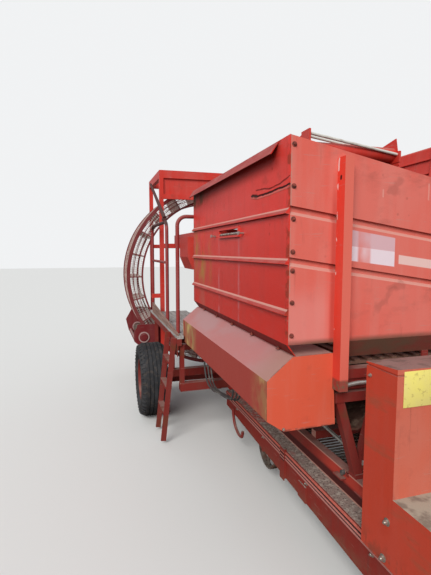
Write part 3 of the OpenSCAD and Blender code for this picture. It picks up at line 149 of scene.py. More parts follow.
class Finish:
    """A material made of a base and the layers over it. Colours are 0 to 255."""

    def __init__(self, name, colour, roughness, metallic=0.0):
        self.material = bpy.data.materials.new(name)
        self.material.use_nodes = True
        self.tree = self.material.node_tree
        self.shader = self.tree.nodes["Principled BSDF"]
        self.shader.inputs["Metallic"].default_value = metallic
        self.shader.inputs["Specular IOR Level"].default_value = 0.5 if metallic else 0.28
        self.where = self.node("ShaderNodeTexCoord")
        self.split = self.node("ShaderNodeSeparateXYZ")
        self.give(self.where.outputs["Object"], self.split.inputs[0])
        self.lean = self.node("ShaderNodeSeparateXYZ")
        self.give(self.where.outputs["Normal"], self.lean.inputs[0])
        self.colour = tone(*colour)
        self.roughness = roughness
        self.height = None

    def node(self, kind, **settings):
        made = self.tree.nodes.new(kind)
        for key, value in settings.items():
            setattr(made, key, value)
        return made

    def give(self, value, socket):
        if isinstance(value, bpy.types.NodeSocket):
            self.tree.links.new(value, socket)
        else:
            socket.default_value = value

    def sum(self, operation, first, second, clamp=False):
        made = self.node("ShaderNodeMath", operation=operation, use_clamp=clamp)
        self.give(first, made.inputs[0])
        self.give(second, made.inputs[1])
        return made.outputs[0]

    def vector(self, operation, *values):
        made = self.node("ShaderNodeVectorMath", operation=operation)
        for value, socket in zip(values, made.inputs):
            self.give(value, socket)
        return made

    def both(self, *masks):
        result = masks[0]
        for mask in masks[1:]:
            result = self.sum("MULTIPLY", result, mask)
        return result

    def either(self, *masks):
        result = masks[0]
        for mask in masks[1:]:
            result = self.sum("MAXIMUM", result, mask)
        return result

    def outside(self, mask):
        return self.sum("SUBTRACT", 1.0, mask, clamp=True)

    def ramp(self, value, low, high):
        """0 below low, 1 above high, smooth between; low may be the larger one."""
        made = self.node("ShaderNodeMapRange", interpolation_type="SMOOTHSTEP")
        self.give(value, made.inputs["Value"])
        limits = (low, high, 0.0, 1.0) if low < high else (high, low, 1.0, 0.0)
        for key, limit in zip(("From Min", "From Max", "To Min", "To Max"), limits):
            made.inputs[key].default_value = limit
        return made.outputs[0]

    def place(self, stretch, shift):
        made = self.node("ShaderNodeMapping")
        made.inputs["Scale"].default_value = stretch
        made.inputs["Location"].default_value = (shift, shift * 0.7, shift * 1.3)
        self.give(self.where.outputs["Object"], made.inputs["Vector"])
        return made.outputs[0]

    def clouds(self, scale, low, high, stretch=(1, 1, 1), shift=0.0, detail=3.0, rough=0.55):
        """Soft patches: noise, cut between two levels."""
        made = self.node("ShaderNodeTexNoise")
        made.inputs["Scale"].default_value = scale
        made.inputs["Detail"].default_value = detail
        made.inputs["Roughness"].default_value = rough
        self.give(self.place(stretch, shift), made.inputs["Vector"])
        return self.ramp(made.outputs[0], low, high)

    def specks(self, scale, size, shift=0.0, stretch=(1, 1, 1)):
        """Small separate spots, each at most as wide as size of its cell."""
        made = self.node("ShaderNodeTexVoronoi")
        made.inputs["Scale"].default_value = scale
        self.give(self.place(stretch, shift), made.inputs["Vector"])
        return self.ramp(made.outputs["Distance"], size, size * 0.4)

    def at(self, axis):
        return self.split.outputs["xyz".index(axis)]

    def past(self, axis, low, high):
        """1 past a place along x, y or z; from 1 to 0 where low is the larger one."""
        return self.ramp(self.at(axis), low, high)

    def band(self, axis, low, high, soft):
        """1 where x, y or z is between low and high, with an edge as wide as soft."""
        return self.both(self.past(axis, low - soft, low + soft), self.past(axis, high + soft, high - soft))

    def facing(self, axis, low, high):
        """How far the surface faces along an axis."""
        return self.ramp(self.lean.outputs["xyz".index(axis)], low, high)

    def near(self, start, end, width, wobble=0.0, scale=20.0):
        """1 along a straight scratch, drip or crease between two points."""
        line = end - start
        place = self.where.outputs["Object"]
        if wobble:
            noise = self.node("ShaderNodeTexNoise")
            noise.inputs["Scale"].default_value = scale
            self.give(place, noise.inputs["Vector"])
            centred = self.vector("SUBTRACT", noise.outputs["Color"], (0.5, 0.5, 0.5)).outputs[0]
            place = self.vector("MULTIPLY_ADD", centred, (wobble, wobble, wobble), place).outputs[0]
        away = self.vector("SUBTRACT", place, start).outputs[0]
        along = self.vector("DOT_PRODUCT", away, line / line.length_squared).outputs["Value"]
        foot = self.node("ShaderNodeVectorMath", operation="SCALE")
        foot.inputs[0].default_value = line
        self.give(self.sum("MINIMUM", self.sum("MAXIMUM", along, 0.0), 1.0), foot.inputs["Scale"])
        gap = self.vector("DISTANCE", away, foot.outputs[0]).outputs["Value"]
        return self.ramp(gap, width, width * 0.4)

    def mixed(self, kind, sockets, mask, below, above):
        """A Mix node; sockets are the places of its two inputs and its output."""
        made = self.node("ShaderNodeMix", data_type=kind)
        self.give(mask, made.inputs[0])
        self.give(below, made.inputs[sockets[0]])
        self.give(above, made.inputs[sockets[1]])
        return made.outputs[sockets[2]]

    def cover(self, mask, colour=None, roughness=None, height=0.0, share=1.0):
        """Puts a layer over what is there, where the mask, or each mask of a tuple, is 1."""
        if isinstance(mask, tuple):
            mask = self.both(*mask)
        if share < 1.0:
            mask = self.sum("MULTIPLY", mask, share)
        if colour is not None:
            self.colour = self.mixed("RGBA", (6, 7, 2), mask, self.colour, tone(*colour))
        if roughness is not None:
            self.roughness = self.mixed("FLOAT", (2, 3, 0), mask, self.roughness, roughness)
        if height:
            raised = self.sum("MULTIPLY", mask, height)
            self.height = raised if self.height is None else self.sum("ADD", self.height, raised)
        return self

    def done(self, strength=0.6, distance=0.002):
        self.give(self.colour, self.shader.inputs["Base Color"])
        self.give(self.roughness, self.shader.inputs["Roughness"])
        if self.height is not None:
            made = self.node("ShaderNodeBump")
            made.inputs["Strength"].default_value = strength
            made.inputs["Distance"].default_value = distance
            self.give(self.height, made.inputs["Height"])
            self.give(made.outputs[0], self.shader.inputs["Normal"])
        return self.material


RUST = (104, 58, 36)
DARK_RUST = (64, 38, 30)
SOIL = (112, 92, 72)
DUST = (150, 128, 118)
BARE = (176, 150, 142)
print("layers ready")

# %% [markdown]
# Red enamel that has stood outside turns chalky: first in clouds, then along
# runs of water. Below the runs there is grey dirt, and small chips have rusted.
# All painted pieces share this recipe, and each finish sets its own colours and
# amounts, then adds what is its own.

# %% Old enamel, the recipe


def enamel(name, fresh, faded, fade=0.5, dirt=0.4, chips=0.5, dust=0.5, gloss=0.42, shift=0.0):
    """Paint with fading, runs, scuffs, chips, and dust on what faces up."""
    paint = Finish(name, fresh, gloss)
    paint.cover(paint.clouds(1.6, 0.35, 0.68, shift=shift), faded, share=fade)
    paint.cover(
        paint.clouds(5.0, 0.42, 0.72, stretch=(3, 3, 0.35), shift=shift + 3, detail=4),
        faded, gloss + 0.1, share=fade,
    )
    paint.cover(
        paint.clouds(9.0, 0.55, 0.78, shift=shift + 7, detail=5, rough=0.65),
        (128, 66, 56), 0.7, share=dirt,
    )
    paint.cover(
        paint.clouds(14.0, 0.60, 0.74, stretch=(2.4, 2.4, 0.22), shift=shift + 11, detail=4),
        (96, 62, 56), 0.75, share=dirt * 0.8,
    )
    paint.cover(
        paint.clouds(60.0, 0.66, 0.72, stretch=(0.15, 0.15, 1.6), shift=shift + 17, detail=2),
        BARE, 0.6, share=0.2,
    )
    chipped = (paint.specks(16.0, 0.16, shift + 5), paint.clouds(2.7, 0.5, 0.62, shift=shift + 23))
    paint.cover(chipped, RUST, 0.85, height=-0.4, share=chips)
    paint.cover(paint.specks(45.0, 0.12, shift + 9), DARK_RUST, 0.85, share=chips * 0.35)
    facing_up = (paint.facing("z", 0.35, 0.85), paint.clouds(7.0, 0.2, 0.7, shift=shift + 31, detail=5))
    paint.cover(facing_up, DUST, 0.9, height=0.25, share=dust)
    paint.cover(paint.clouds(220.0, 0.3, 0.8, detail=2), height=0.12)
    return paint


print("enamel recipe ready")

# %% [markdown]
# The bunker's right wall is in its own shade, deep red. Two pale runs hang from
# the ends of its slot, the rear edge is worn to brown and yellow, and under the
# top lip a crease shows where the sheet was torn and bent back.

# %% Deep red side wall
wall_low, wall_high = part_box("bunker_wall_right")
SIDE_X = -0.710
RIB_Z = (1.384, 1.617, 1.845)
CREASE = ((-2.454, 1.960), (-2.353, 1.958), (-2.240, 1.953), (-2.081, 1.952), (-1.991, 1.964))
UPPER_CREASE = ((-2.452, 1.998), (-2.352, 1.978), (-2.240, 1.970), (-2.060, 1.988))


def on_side(y, z):
    return from_axle(SIDE_X, y, z)


def side_wall_red():
    paint = enamel(
        "side_wall_red", (226, 50, 38), (206, 68, 60),
        fade=0.45, dirt=0.28, chips=0.5, dust=0.0, gloss=0.38, shift=1.0,
    )
    lower = paint.past("z", 1.95, 1.30)
    paint.cover(lower, (160, 40, 34), share=0.4)
    rear = paint.both(paint.past("y", AXLE_Y - 1.35, AXLE_Y - 0.95), paint.past("z", 1.98, 1.86))
    haze = paint.clouds(3.0, 0.38, 0.62, stretch=(1, 1.6, 0.7), shift=45, detail=4)
    paint.cover((rear, haze), (176, 92, 78), 0.6, share=0.6)
    rubbed = paint.clouds(7.0, 0.44, 0.68, stretch=(1, 1.4, 0.6), shift=41, detail=5)
    paint.cover((rear, rubbed, paint.band("z", 1.42, 1.84, 0.10)), (172, 124, 66), 0.7, share=0.85)
    # Painted shadow under the top lip: darker red high on the wall, growing towards the rear, a darker band
    # just under the lip from the front corner back, and a blotchy olive-dark painted shadow at the rear end.
    shade = (paint.past("y", AXLE_Y - 2.10, AXLE_Y - 0.75), paint.past("z", 1.90, 2.09))
    paint.cover(shade, (96, 24, 18), 0.7, share=0.6)
    lip_shadow_band = (paint.band("y", AXLE_Y - 2.34, AXLE_Y, 0.03), paint.past("z", 2.03, 2.09))
    paint.cover(lip_shadow_band, (112, 18, 14), 0.7, share=0.5)
    rear_lip_shadow = paint.both(
        paint.past("y", AXLE_Y - 1.20, AXLE_Y - 0.85),
        paint.past("z", 2.00, 2.06),
        paint.clouds(8.0, 0.36, 0.58, shift=43, detail=5),
    )
    paint.cover(rear_lip_shadow, (66, 50, 26), 0.8, share=0.85)
    for y in (-1.795, -1.392):
        run = paint.near(on_side(y, 1.75), on_side(y, 1.24), 0.020, wobble=0.02, scale=9)
        paint.cover((run, paint.clouds(12.0, 0.3, 0.6, shift=47)), (196, 116, 120), 0.6, share=0.6)
    # The creases are dents in the bump. The dark lines along them are painted shade, and the pale line just
    # below the lower crease is a painted highlight.
    for first, last in zip(CREASE, CREASE[1:]):
        torn = paint.near(on_side(*first), on_side(*last), 0.0065, wobble=0.014)
        paint.cover(torn, (58, 20, 20), 0.8, height=-1.0)
        lip = paint.near(on_side(first[0], first[1] - 0.010), on_side(last[0], last[1] - 0.010), 0.006)
        paint.cover(lip, (206, 120, 108), 0.5, height=0.6, share=0.6)
    for first, last in zip(UPPER_CREASE, UPPER_CREASE[1:]):
        bent = paint.near(on_side(*first), on_side(*last), 0.0055, wobble=0.012)
        paint.cover(bent, (96, 22, 18), 0.7, height=-0.7, share=0.7)
    stain = paint.near(on_side(-2.070, 1.954), on_side(-2.000, 1.962), 0.016, wobble=0.03)
    paint.cover(stain, (60, 44, 40), 0.9, share=0.8)
    ends = paint.both(
        paint.either(
            paint.band("y", AXLE_Y - 2.46, AXLE_Y - 2.425, 0.010),
            paint.band("y", AXLE_Y - 0.67, AXLE_Y - 0.64, 0.006),
        ),
        paint.clouds(18.0, 0.42, 0.60, shift=51),
    )
    paint.cover(ends, RUST, 0.85, share=0.6)
    # What faces up, the ribs' upper slopes and the lip's outer face, is a duller red with pale pink streaks,
    # partly dust and partly painted sky light. A pale line of dust runs along each rib's crest.
    facing_up = paint.facing("z", 0.30, 0.50)
    streaked = paint.clouds(22.0, 0.30, 0.72, stretch=(1, 0.35, 1), shift=55, detail=5)
    paint.cover(facing_up, (164, 62, 58), 0.7, share=0.85)
    lip_face = paint.past("z", 2.05, 2.08)
    paint.cover((facing_up, lip_face), (158, 64, 62), 0.7, share=0.7)
    paint.cover((facing_up, streaked), (184, 112, 106), 0.8, height=0.2, share=0.45)
    for z in RIB_Z:
        crest = (facing_up, paint.band("z", z + 0.005, z + 0.016, 0.002))
        paint.cover(crest, (206, 158, 146), 0.85, share=0.75)
    # Painted shade on what faces down: the undersides of the ribs and of the lip.
    paint.cover(paint.facing("z", -0.30, -0.60), (92, 20, 16), 0.7, share=0.8)
    return paint.done(strength=0.8, distance=0.006)


print("side wall reaches from z", round(wall_low.z, 3), "to", round(wall_high.z, 3))

# %% [markdown]
# The front wall has had more sun and is bleached to salmon. Right of the post it
# carries a plain two-tone patch, half rubbed through to the red, and one plain
# pale stripe. Both follow the slope of the wall's ribs, so their edges fall
# with X, and each edge is given by its height at its start and its fall.

# %% Bleached front wall with patch and stripe
FRONT_FACE_Y = -2.450
PATCH_X = (-0.380, -0.135)
PATCH_EDGES = ((1.6190, 0.125), (1.6885, 0.110), (1.7640, 0.146))
STRIPE_X = (-0.110, 0.560)
STRIPE_EDGES = ((1.602, 0.130), (1.646, 0.130))


def front_wall_salmon():
    paint = enamel(
        "front_wall_salmon", (219, 97, 83), (216, 122, 110),
        fade=0.6, dirt=0.22, chips=0.25, dust=0.0, gloss=0.5, shift=13.0,
    )
    smears = paint.both(
        paint.clouds(2.2, 0.52, 0.7, stretch=(0.7, 1, 1.6), shift=61),
        paint.clouds(16.0, 0.42, 0.7, stretch=(0.6, 1, 1.3), shift=63, detail=5),
    )
    paint.cover(smears, (156, 84, 74), 0.7, share=0.5)
    # The ribs are grooves pressed in. Their lower slopes face up and are paler, partly dust and partly
    # painted light. Their upper faces face down and carry painted shade.
    paint.cover(paint.facing("z", 0.20, 0.45), (206, 150, 138), 0.8, share=0.8)
    paint.cover(paint.facing("z", -0.20, -0.45), (150, 34, 26), 0.6, share=0.75)
    smudges = ((-0.148, 1.973, 0.05, 0.02), (-0.126, 1.493, 0.07, 0.01), (-0.182, 1.425, 0.09, 0.05))
    for x, z, wide, high in smudges:
        ends = [from_axle(x + side * wide / 2, FRONT_FACE_Y, z + side * high) for side in (-1, 1)]
        spot = paint.near(*ends, 0.030, wobble=0.09, scale=13)
        paint.cover(spot, (150, 82, 72), 0.7, share=0.35)
    bleached = (paint.band("x", -0.715, -0.500, 0.03), paint.past("z", 1.56, 1.38))
    paint.cover(bleached, (222, 140, 132), 0.6, share=0.6)
    # Painted shadow in a narrow band just left of the post.
    shadow_beside_post = (paint.band("x", -0.490, -0.462, 0.010), paint.past("z", 2.05, 1.80))
    paint.cover(shadow_beside_post, (168, 42, 34), 0.6, share=0.55)

    def strip(x0, x1, low, high):
        sides = []
        for (z, fall), soft in ((low, 0.002), (high, -0.002)):
            level = paint.sum("ADD", paint.at("z"), paint.sum("MULTIPLY", paint.at("x"), fall))
            sides.append(paint.ramp(level, z + fall * x0 - soft, z + fall * x0 + soft))
        return paint.both(paint.band("x", x0, x1, 0.002), *sides, paint.facing("y", -0.5, -0.8))

    worn = paint.clouds(6.0, 0.30, 0.66, stretch=(1, 1, 0.6), shift=67)
    kept = paint.outside(paint.both(paint.band("x", -0.345, -0.275, 0.008), paint.outside(worn)))
    low, middle, high = PATCH_EDGES
    paint.cover((strip(*PATCH_X, middle, high), kept), (212, 180, 188), 0.6, share=0.85)
    paint.cover((strip(*PATCH_X, low, middle), kept), (230, 216, 224), 0.55, share=0.95)
    paint.cover(strip(*STRIPE_X, *STRIPE_EDGES), (230, 200, 194), 0.6, share=0.85)
    foot = paint.past("z", 1.262, 1.225)
    paint.cover(foot, (112, 58, 48), 0.8, share=0.8)
    paint.cover(
        (foot, paint.clouds(7.0, 0.35, 0.65, stretch=(0.6, 1, 1.4), shift=77, detail=5)),
        (96, 80, 62), 0.9, share=0.8,
    )
    for x, z, length in ((0.055, 1.995, 0.075), (-0.215, 1.955, 0.03)):
        ends = from_axle(x, FRONT_FACE_Y, z), from_axle(x, FRONT_FACE_Y, z - length)
        scar = paint.near(*ends, 0.006, wobble=0.006, scale=30)
        paint.cover(scar, (232, 190, 180), 0.5, share=0.3)
    edge = (paint.band("x", -0.715, -0.700, 0.004), paint.clouds(24.0, 0.4, 0.56, shift=73))
    paint.cover(edge, (176, 140, 128), 0.8, share=0.8)
    return paint.done(strength=0.7, distance=0.004)


print("stripe patch", PATCH_X, PATCH_EDGES)

# %% [markdown]
# The housing of the bunker floor's tail and the drive guards are in a warmer
# orange-red. The sloping top of the housing is grey with dust, its outer face
# is dark, and at both ends the paint is worn through to a yellow primer.

# %% Orange-red housing and guards
housing_low, housing_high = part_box("floor_housing")


def housing_orange():
    paint = enamel(
        "housing_orange", (215, 92, 66), (210, 112, 92),
        fade=0.45, dirt=0.25, chips=0.25, dust=0.0, gloss=0.45, shift=23.0,
    )
    outer = paint.facing("x", -0.55, -0.8)
    paint.cover(outer, (158, 62, 56), share=0.9)
    ends = paint.either(
        paint.sum("MULTIPLY", paint.past("y", housing_low.y + 0.22, housing_low.y + 0.06), 0.7),
        paint.past("y", housing_high.y - 0.50, housing_high.y - 0.34),
    )
    rubbed = paint.clouds(11.0, 0.32, 0.60, stretch=(1, 1.1, 0.7), shift=83, detail=5)
    paint.cover((outer, ends, rubbed), (160, 126, 84), 0.75, share=0.9)
    bleached = paint.clouds(13.0, 0.50, 0.72, stretch=(1, 1.1, 0.6), shift=87, detail=4)
    paint.cover((outer, ends, bleached), (206, 186, 120), 0.7, share=0.7)
    slope = paint.facing("z", 0.25, 0.6)
    paint.cover(slope, (175, 122, 122), 0.75, share=0.85)
    dull = (slope, paint.clouds(2.4, 0.35, 0.65, stretch=(2, 1, 2), shift=85, detail=4))
    paint.cover(dull, (172, 138, 138), 0.85, share=0.7)
    near_front = paint.past("y", housing_low.y + 0.30, housing_low.y + 0.03)
    paint.cover((slope, near_front), (164, 122, 110), 0.85, share=0.75)
    corner = paint.both(
        paint.either(
            paint.past("z", housing_low.z + 0.014, housing_low.z + 0.004),
            paint.both(
                paint.past("y", housing_low.y + 0.010, housing_low.y + 0.003),
                paint.facing("y", -0.2, -0.05),
            ),
        ),
        paint.clouds(30.0, 0.35, 0.55, shift=89),
    )
    paint.cover(corner, (96, 66, 58), 0.85, share=0.6)
    return paint.done(strength=0.7, distance=0.003)


def guard_orange():
    paint = enamel(
        "guard_orange", (203, 97, 74), (196, 122, 106),
        fade=0.6, dirt=0.35, chips=0.5, dust=0.6, gloss=0.5, shift=37.0,
    )
    side = paint.facing("x", -0.5, -0.8)
    paint.cover(side, (184, 52, 30), share=0.8)
    top = paint.facing("z", 0.6, 0.9)
    paint.cover(top, (134, 112, 108), 0.9, height=0.4, share=0.85)
    low_top = (top, paint.past("z", 1.0, 0.9))
    paint.cover(low_top, (172, 162, 144), 0.95, share=0.85)
    caked = paint.clouds(16.0, 0.45, 0.65, shift=93, detail=5)
    paint.cover((top, caked), (98, 80, 72), 0.9, share=0.6)
    rub = (side, paint.clouds(8.0, 0.52, 0.7, stretch=(1, 0.4, 2.0), shift=91, detail=5))
    paint.cover(rub, (140, 84, 62), 0.8, share=0.5)
    foot = paint.past("z", 0.50, 0.36)
    worn = paint.clouds(20.0, 0.45, 0.60, stretch=(1, 1, 0.7), shift=95, detail=5)
    paint.cover((foot, worn), (120, 66, 50), 0.85, share=0.7)
    return paint.done(strength=0.7, distance=0.003)


print("housing is", round(housing_high.y - housing_low.y, 3), "m long")

# %% [markdown]
# The rest of the paint comes in three shades: the signal red of the post, rails
# and portal, the dull dark red of the chassis, and the brown-red of the side
# plates, which the soil has scoured.

# %% Other reds
POST_EDGE_X = -0.467


def on_post(y, z):
    return from_axle(POST_EDGE_X, y, z)


def post_red():
    paint = enamel("post_red", (226, 66, 50), (220, 80, 66), dirt=0.15, chips=0.3, dust=0.2, shift=53.0)
    paint.cover(paint.facing("y", -0.5, -0.8), (218, 110, 94), 0.5, share=0.9)
    low = (paint.facing("x", -0.5, -0.8), paint.past("z", 1.55, 1.20))
    paint.cover(low, (210, 68, 52), share=0.8)
    corner = paint.near(on_post(-2.452, 1.30), on_post(-2.452, 2.09), 0.009)
    chalk = paint.clouds(30.0, 0.60, 0.64, stretch=(1, 1, 0.6), shift=57, detail=3)
    top_run = paint.near(on_post(-2.458, 2.035), on_post(-2.462, 2.083), 0.008, wobble=0.01)
    paint.cover(paint.either(paint.both(corner, chalk), top_run), (232, 206, 200), 0.6, share=0.9)
    # A hole drawn as a dark spot: painted shade, the post has no hole cut.
    hole_shade = paint.near(on_post(-2.479, 2.002), on_post(-2.478, 1.994), 0.010)
    paint.cover(hole_shade, (60, 16, 14), 0.9)
    foot = paint.past("z", 1.068, 1.052)
    paint.cover(foot, (112, 52, 44), 0.9, share=0.75)
    paint.cover((foot, paint.clouds(40.0, 0.42, 0.6, shift=79, detail=5)), SOIL, 0.95, height=0.5, share=0.8)
    return paint.done()


def rail_maroon():
    paint = enamel("rail_maroon", (142, 40, 38), (140, 72, 70), fade=0.55, chips=0.5, shift=55.0)
    sooty = (paint.past("y", AXLE_Y - 0.55, AXLE_Y - 0.45), paint.past("z", 1.90, 1.93))
    paint.cover(sooty, (62, 44, 42), 0.6, share=0.85)
    return paint.done()


def machine_red():
    return enamel(
        "machine_red", (198, 48, 36), (194, 82, 74), fade=0.45, dirt=0.35, chips=0.6, shift=59.0
    ).done()


def chassis_red():
    paint = enamel(
        "chassis_red", (128, 34, 28), (120, 60, 54),
        dirt=0.6, chips=0.8, dust=0.7, gloss=0.6, shift=67.0,
    )
    paint.cover(paint.clouds(5.0, 0.55, 0.68, shift=97, detail=5), RUST, 0.9, height=0.3, share=0.7)
    return paint.done()


def rails_red():
    paint = enamel(
        "rails_red", (128, 34, 28), (120, 56, 48),
        dirt=0.5, chips=0.8, dust=0.7, gloss=0.6, shift=68.0,
    )
    web = paint.either(paint.facing("x", 0.6, 0.9), paint.facing("x", -0.6, -0.9))
    rubbed = paint.clouds(6.0, 0.30, 0.60, stretch=(1, 0.4, 1), shift=105, detail=4)
    front = paint.past("y", AXLE_Y - 1.90, AXLE_Y - 2.30)
    # On the rails' side faces: the upper half is a worn orange-red that also stands in for painted light,
    # the lower half is a painted shadow as of a channel's lower flange, and pale lines run along the top and
    # bottom edges.
    paint.cover((web, front, paint.past("z", 0.450, 0.470), rubbed), (180, 62, 48), 0.5, share=0.8)
    paint.cover((web, paint.past("z", 0.456, 0.444)), (60, 20, 18), 0.8, share=0.85)
    edges = paint.either(paint.past("z", 0.510, 0.514), paint.past("z", 0.407, 0.403))
    paint.cover((web, edges), (186, 136, 122), 0.8, share=0.85)
    return paint.done()


def scoured_red():
    paint = enamel(
        "scoured_red", (136, 36, 28), (126, 56, 48),
        dirt=0.5, chips=0.8, dust=0.9, gloss=0.6, shift=71.0,
    )
    inside = paint.either(paint.facing("z", 0.5, 0.9), paint.band("x", -0.300, 0.300, 0.010))
    paint.cover(inside, (142, 128, 120), 0.95, share=0.85)
    peeled = paint.clouds(5.0, 0.51, 0.63, stretch=(1, 0.7, 1), shift=103, detail=5)
    paint.cover((inside, peeled), (196, 92, 84), 0.8, share=0.8)
    caked = paint.clouds(30.0, 0.46, 0.60, shift=99, detail=6, rough=0.7)
    paint.cover((inside, caked), (184, 174, 162), 0.95, height=0.9, share=0.7)
    paint.cover((inside, paint.specks(70.0, 0.40, 13)), (56, 42, 36), 0.95, share=0.75)
    bead = paint.both(paint.facing("x", -0.15, -0.4), paint.band("z", 0.329, 0.393, 0.001))
    paint.cover(bead, (52, 16, 14), 0.85, share=0.92)
    for top, crest in ((0.390, (190, 98, 84)), (0.3665, (196, 122, 112)), (0.3465, (184, 120, 112))):
        line = (bead, paint.band("z", top - 0.008, top, 0.0015))
        paint.cover(line, crest, 0.8, share=0.95)
    low = paint.past("z", 0.30, 0.12)
    paint.cover((low, paint.clouds(13.0, 0.35, 0.6, shift=101)), SOIL, 0.95, share=0.7)
    return paint.done(strength=0.8, distance=0.004)


def bracket_maroon():
    paint = enamel("bracket_maroon", (112, 32, 36), (120, 62, 62), dirt=0.5, chips=0.6, shift=85.0)
    roller_low, roller_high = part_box("ring_roller_right")
    centre = (roller_low + roller_high) / 2
    across = paint.sum("SUBTRACT", paint.sum("ABSOLUTE", paint.at("x"), 0.0), abs(centre.x))
    rise = paint.sum("SUBTRACT", paint.at("z"), centre.z)
    squares = [paint.sum("MULTIPLY", way, way) for way in (across, rise)]
    reach = paint.sum("SQRT", paint.sum("ADD", *squares), 0.0)
    rim = paint.both(paint.ramp(reach, 0.050, 0.054), paint.ramp(reach, 0.068, 0.064))
    paint.cover((rim, paint.facing("y", -0.5, -0.8)), (176, 150, 146), 0.7, share=0.85)
    paint.cover(paint.facing("z", 0.5, 0.8), (160, 128, 124), 0.8, share=0.8)
    return paint.done()


def ring_red():
    paint = enamel("ring_red", (112, 32, 34), (124, 70, 70), chips=0.7, shift=79.0)
    low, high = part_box("ring_elevator")
    inner = paint.band("y", low.y + 0.014, high.y - 0.014, 0.002)
    paint.cover(inner, (196, 178, 170), 0.7, share=0.85)
    paint.cover((inner, paint.clouds(9.0, 0.45, 0.62, shift=81, detail=5)), (150, 96, 88), 0.8, share=0.7)
    return paint.done()


print("reds ready: post, rails, machine, chassis, side plates, brackets and ring")

# %% [markdown]
# Bare steel is polished only where the crop runs over it. Elsewhere it is brown
# with old rust. Galvanised pieces are pale grey with a soft spangle.

# %% Steel


def bare(name, colour, roughness, metallic, *layers):
    """Unpainted stuff with cloudy layers over it. Each layer is a row: the clouds
    (scale, low, high, shift, detail), colour, roughness, height and share."""
    made = Finish(name, colour, roughness, metallic)
    for (scale, low, high, shift, detail), *layer in layers:
        over, rough, height, share = layer
        made.cover(made.clouds(scale, low, high, shift=shift, detail=detail), over, rough, height, share)
    return made


def worn_steel():
    return bare(
        "worn_steel", (150, 142, 134), 0.42, 0.75,
        ((6.0, 0.42, 0.62, 3, 5), RUST, 0.8, 0.3, 0.8),
        ((28.0, 0.5, 0.66, 5, 5), DARK_RUST, 0.9, 0.0, 0.6),
        ((3.0, 0.55, 0.7, 7, 3), SOIL, 0.95, 0.4, 0.5),
    ).done()


def rusty_slats():
    return bare(
        "rusty_slats", (116, 84, 70), 0.75, 0.3,
        ((7.0, 0.4, 0.65, 11, 5), DARK_RUST, 0.9, 0.3, 0.8),
        ((18.0, 0.5, 0.66, 13, 5), (146, 122, 104), 0.9, 0.0, 0.7),
    ).done()


def galvanised():
    metal = Finish("galvanised", (196, 196, 190), 0.38, metallic=0.7)
    metal.cover(metal.specks(60.0, 0.6, 2), (168, 168, 164), 0.5, share=0.6)
    metal.cover(metal.clouds(9.0, 0.5, 0.7, shift=17, detail=4), (140, 128, 116), 0.7, share=0.6)
    return metal.done()


def chalky_zinc():
    return bare(
        "chalky_zinc", (214, 212, 204), 0.6, 0.15,
        ((14.0, 0.48, 0.66, 21, 4), (150, 126, 112), 0.8, 0.0, 0.6),
    ).done()


def polished_rod():
    return bare(
        "polished_rod", (196, 194, 190), 0.16, 0.95, ((20.0, 0.58, 0.7, 19, 4), RUST, 0.6, 0.0, 0.6)
    ).done()


def zinc_bolts():
    return bare(
        "zinc_bolts", (190, 186, 178), 0.35, 0.8, ((40.0, 0.5, 0.64, 23, 4), (122, 92, 74), 0.8, 0.0, 0.7)
    ).done()


def rusty_bolts():
    return bare(
        "rusty_bolts", (146, 70, 58), 0.8, 0.1, ((50.0, 0.45, 0.6, 29, 4), (82, 50, 44), 0.9, 0.0, 0.7)
    ).done()


print("steel ready: worn, rusty, galvanised, chalky and polished")

# %% [markdown]
# The webs are steel rods riveted to rubber belts. In the frame both are one
# piece, so the finish tells them apart by how far they are from the middle.

# %% Rod webs, rubber and oil
BELT_INNER_X = 0.2195


def rod_web_finish():
    web = bare(
        "rod_web_finish", (142, 130, 120), 0.5, 0.5,
        ((9.0, 0.4, 0.6, 31, 5), RUST, 0.85, 0.3, 0.85),
        ((4.0, 0.5, 0.66, 37, 5), SOIL, 0.95, 0.5, 0.7),
    )
    belt = web.either(
        web.past("x", BELT_INNER_X - 0.0005, BELT_INNER_X + 0.0005),
        web.past("x", -BELT_INNER_X + 0.0005, -BELT_INNER_X - 0.0005),
    )
    web.cover(belt, (44, 42, 40), 0.8)
    web.cover((belt, web.clouds(15.0, 0.4, 0.65, shift=39, detail=4)), SOIL, 0.95, share=0.5)
    return web.done()


def tyre_rubber():
    return bare(
        "tyre_rubber", (42, 43, 46), 0.72, 0.0,
        ((6.0, 0.4, 0.7, 41, 5), (70, 70, 72), 0.9, 0.0, 0.6),
        ((30.0, 0.5, 0.68, 43, 5), (96, 84, 74), 0.95, 0.4, 0.35),
        ((180.0, 0.3, 0.8, 0, 2), None, None, 0.3, 1.0),
    ).done()


def black_barrel():
    paint = bare(
        "black_barrel", (38, 38, 40), 0.35, 0.0, ((7.0, 0.45, 0.7, 53, 5), (92, 78, 68), 0.8, 0.0, 0.6)
    )
    return paint.cover(paint.specks(30.0, 0.2, 3), RUST, 0.85, share=0.5).done()


def greasy_casting():
    paint = bare(
        "greasy_casting", (96, 36, 32), 0.5, 0.0, ((6.0, 0.4, 0.62, 59, 5), (44, 34, 30), 0.35, 0.0, 0.8)
    )
    return paint.cover(paint.facing("z", 0.3, 0.9), DUST, 0.9, share=0.6).done()


def hose_rubber():
    return bare(
        "hose_rubber", (70, 68, 68), 0.5, 0.0, ((25.0, 0.45, 0.7, 57, 4), (132, 126, 120), 0.85, 0.0, 0.7)
    ).done()


print("the web's belts start", BELT_INNER_X, "m from the middle")

# %% [markdown]
# The standing boards run along the machine, so their grain does too: noise that
# is stretched along Y gives the fibres, and finer noise the weathered cracks.
# Old softwood outside turns silver-grey, and the kick boards are a dusty brown.

# %% Timber


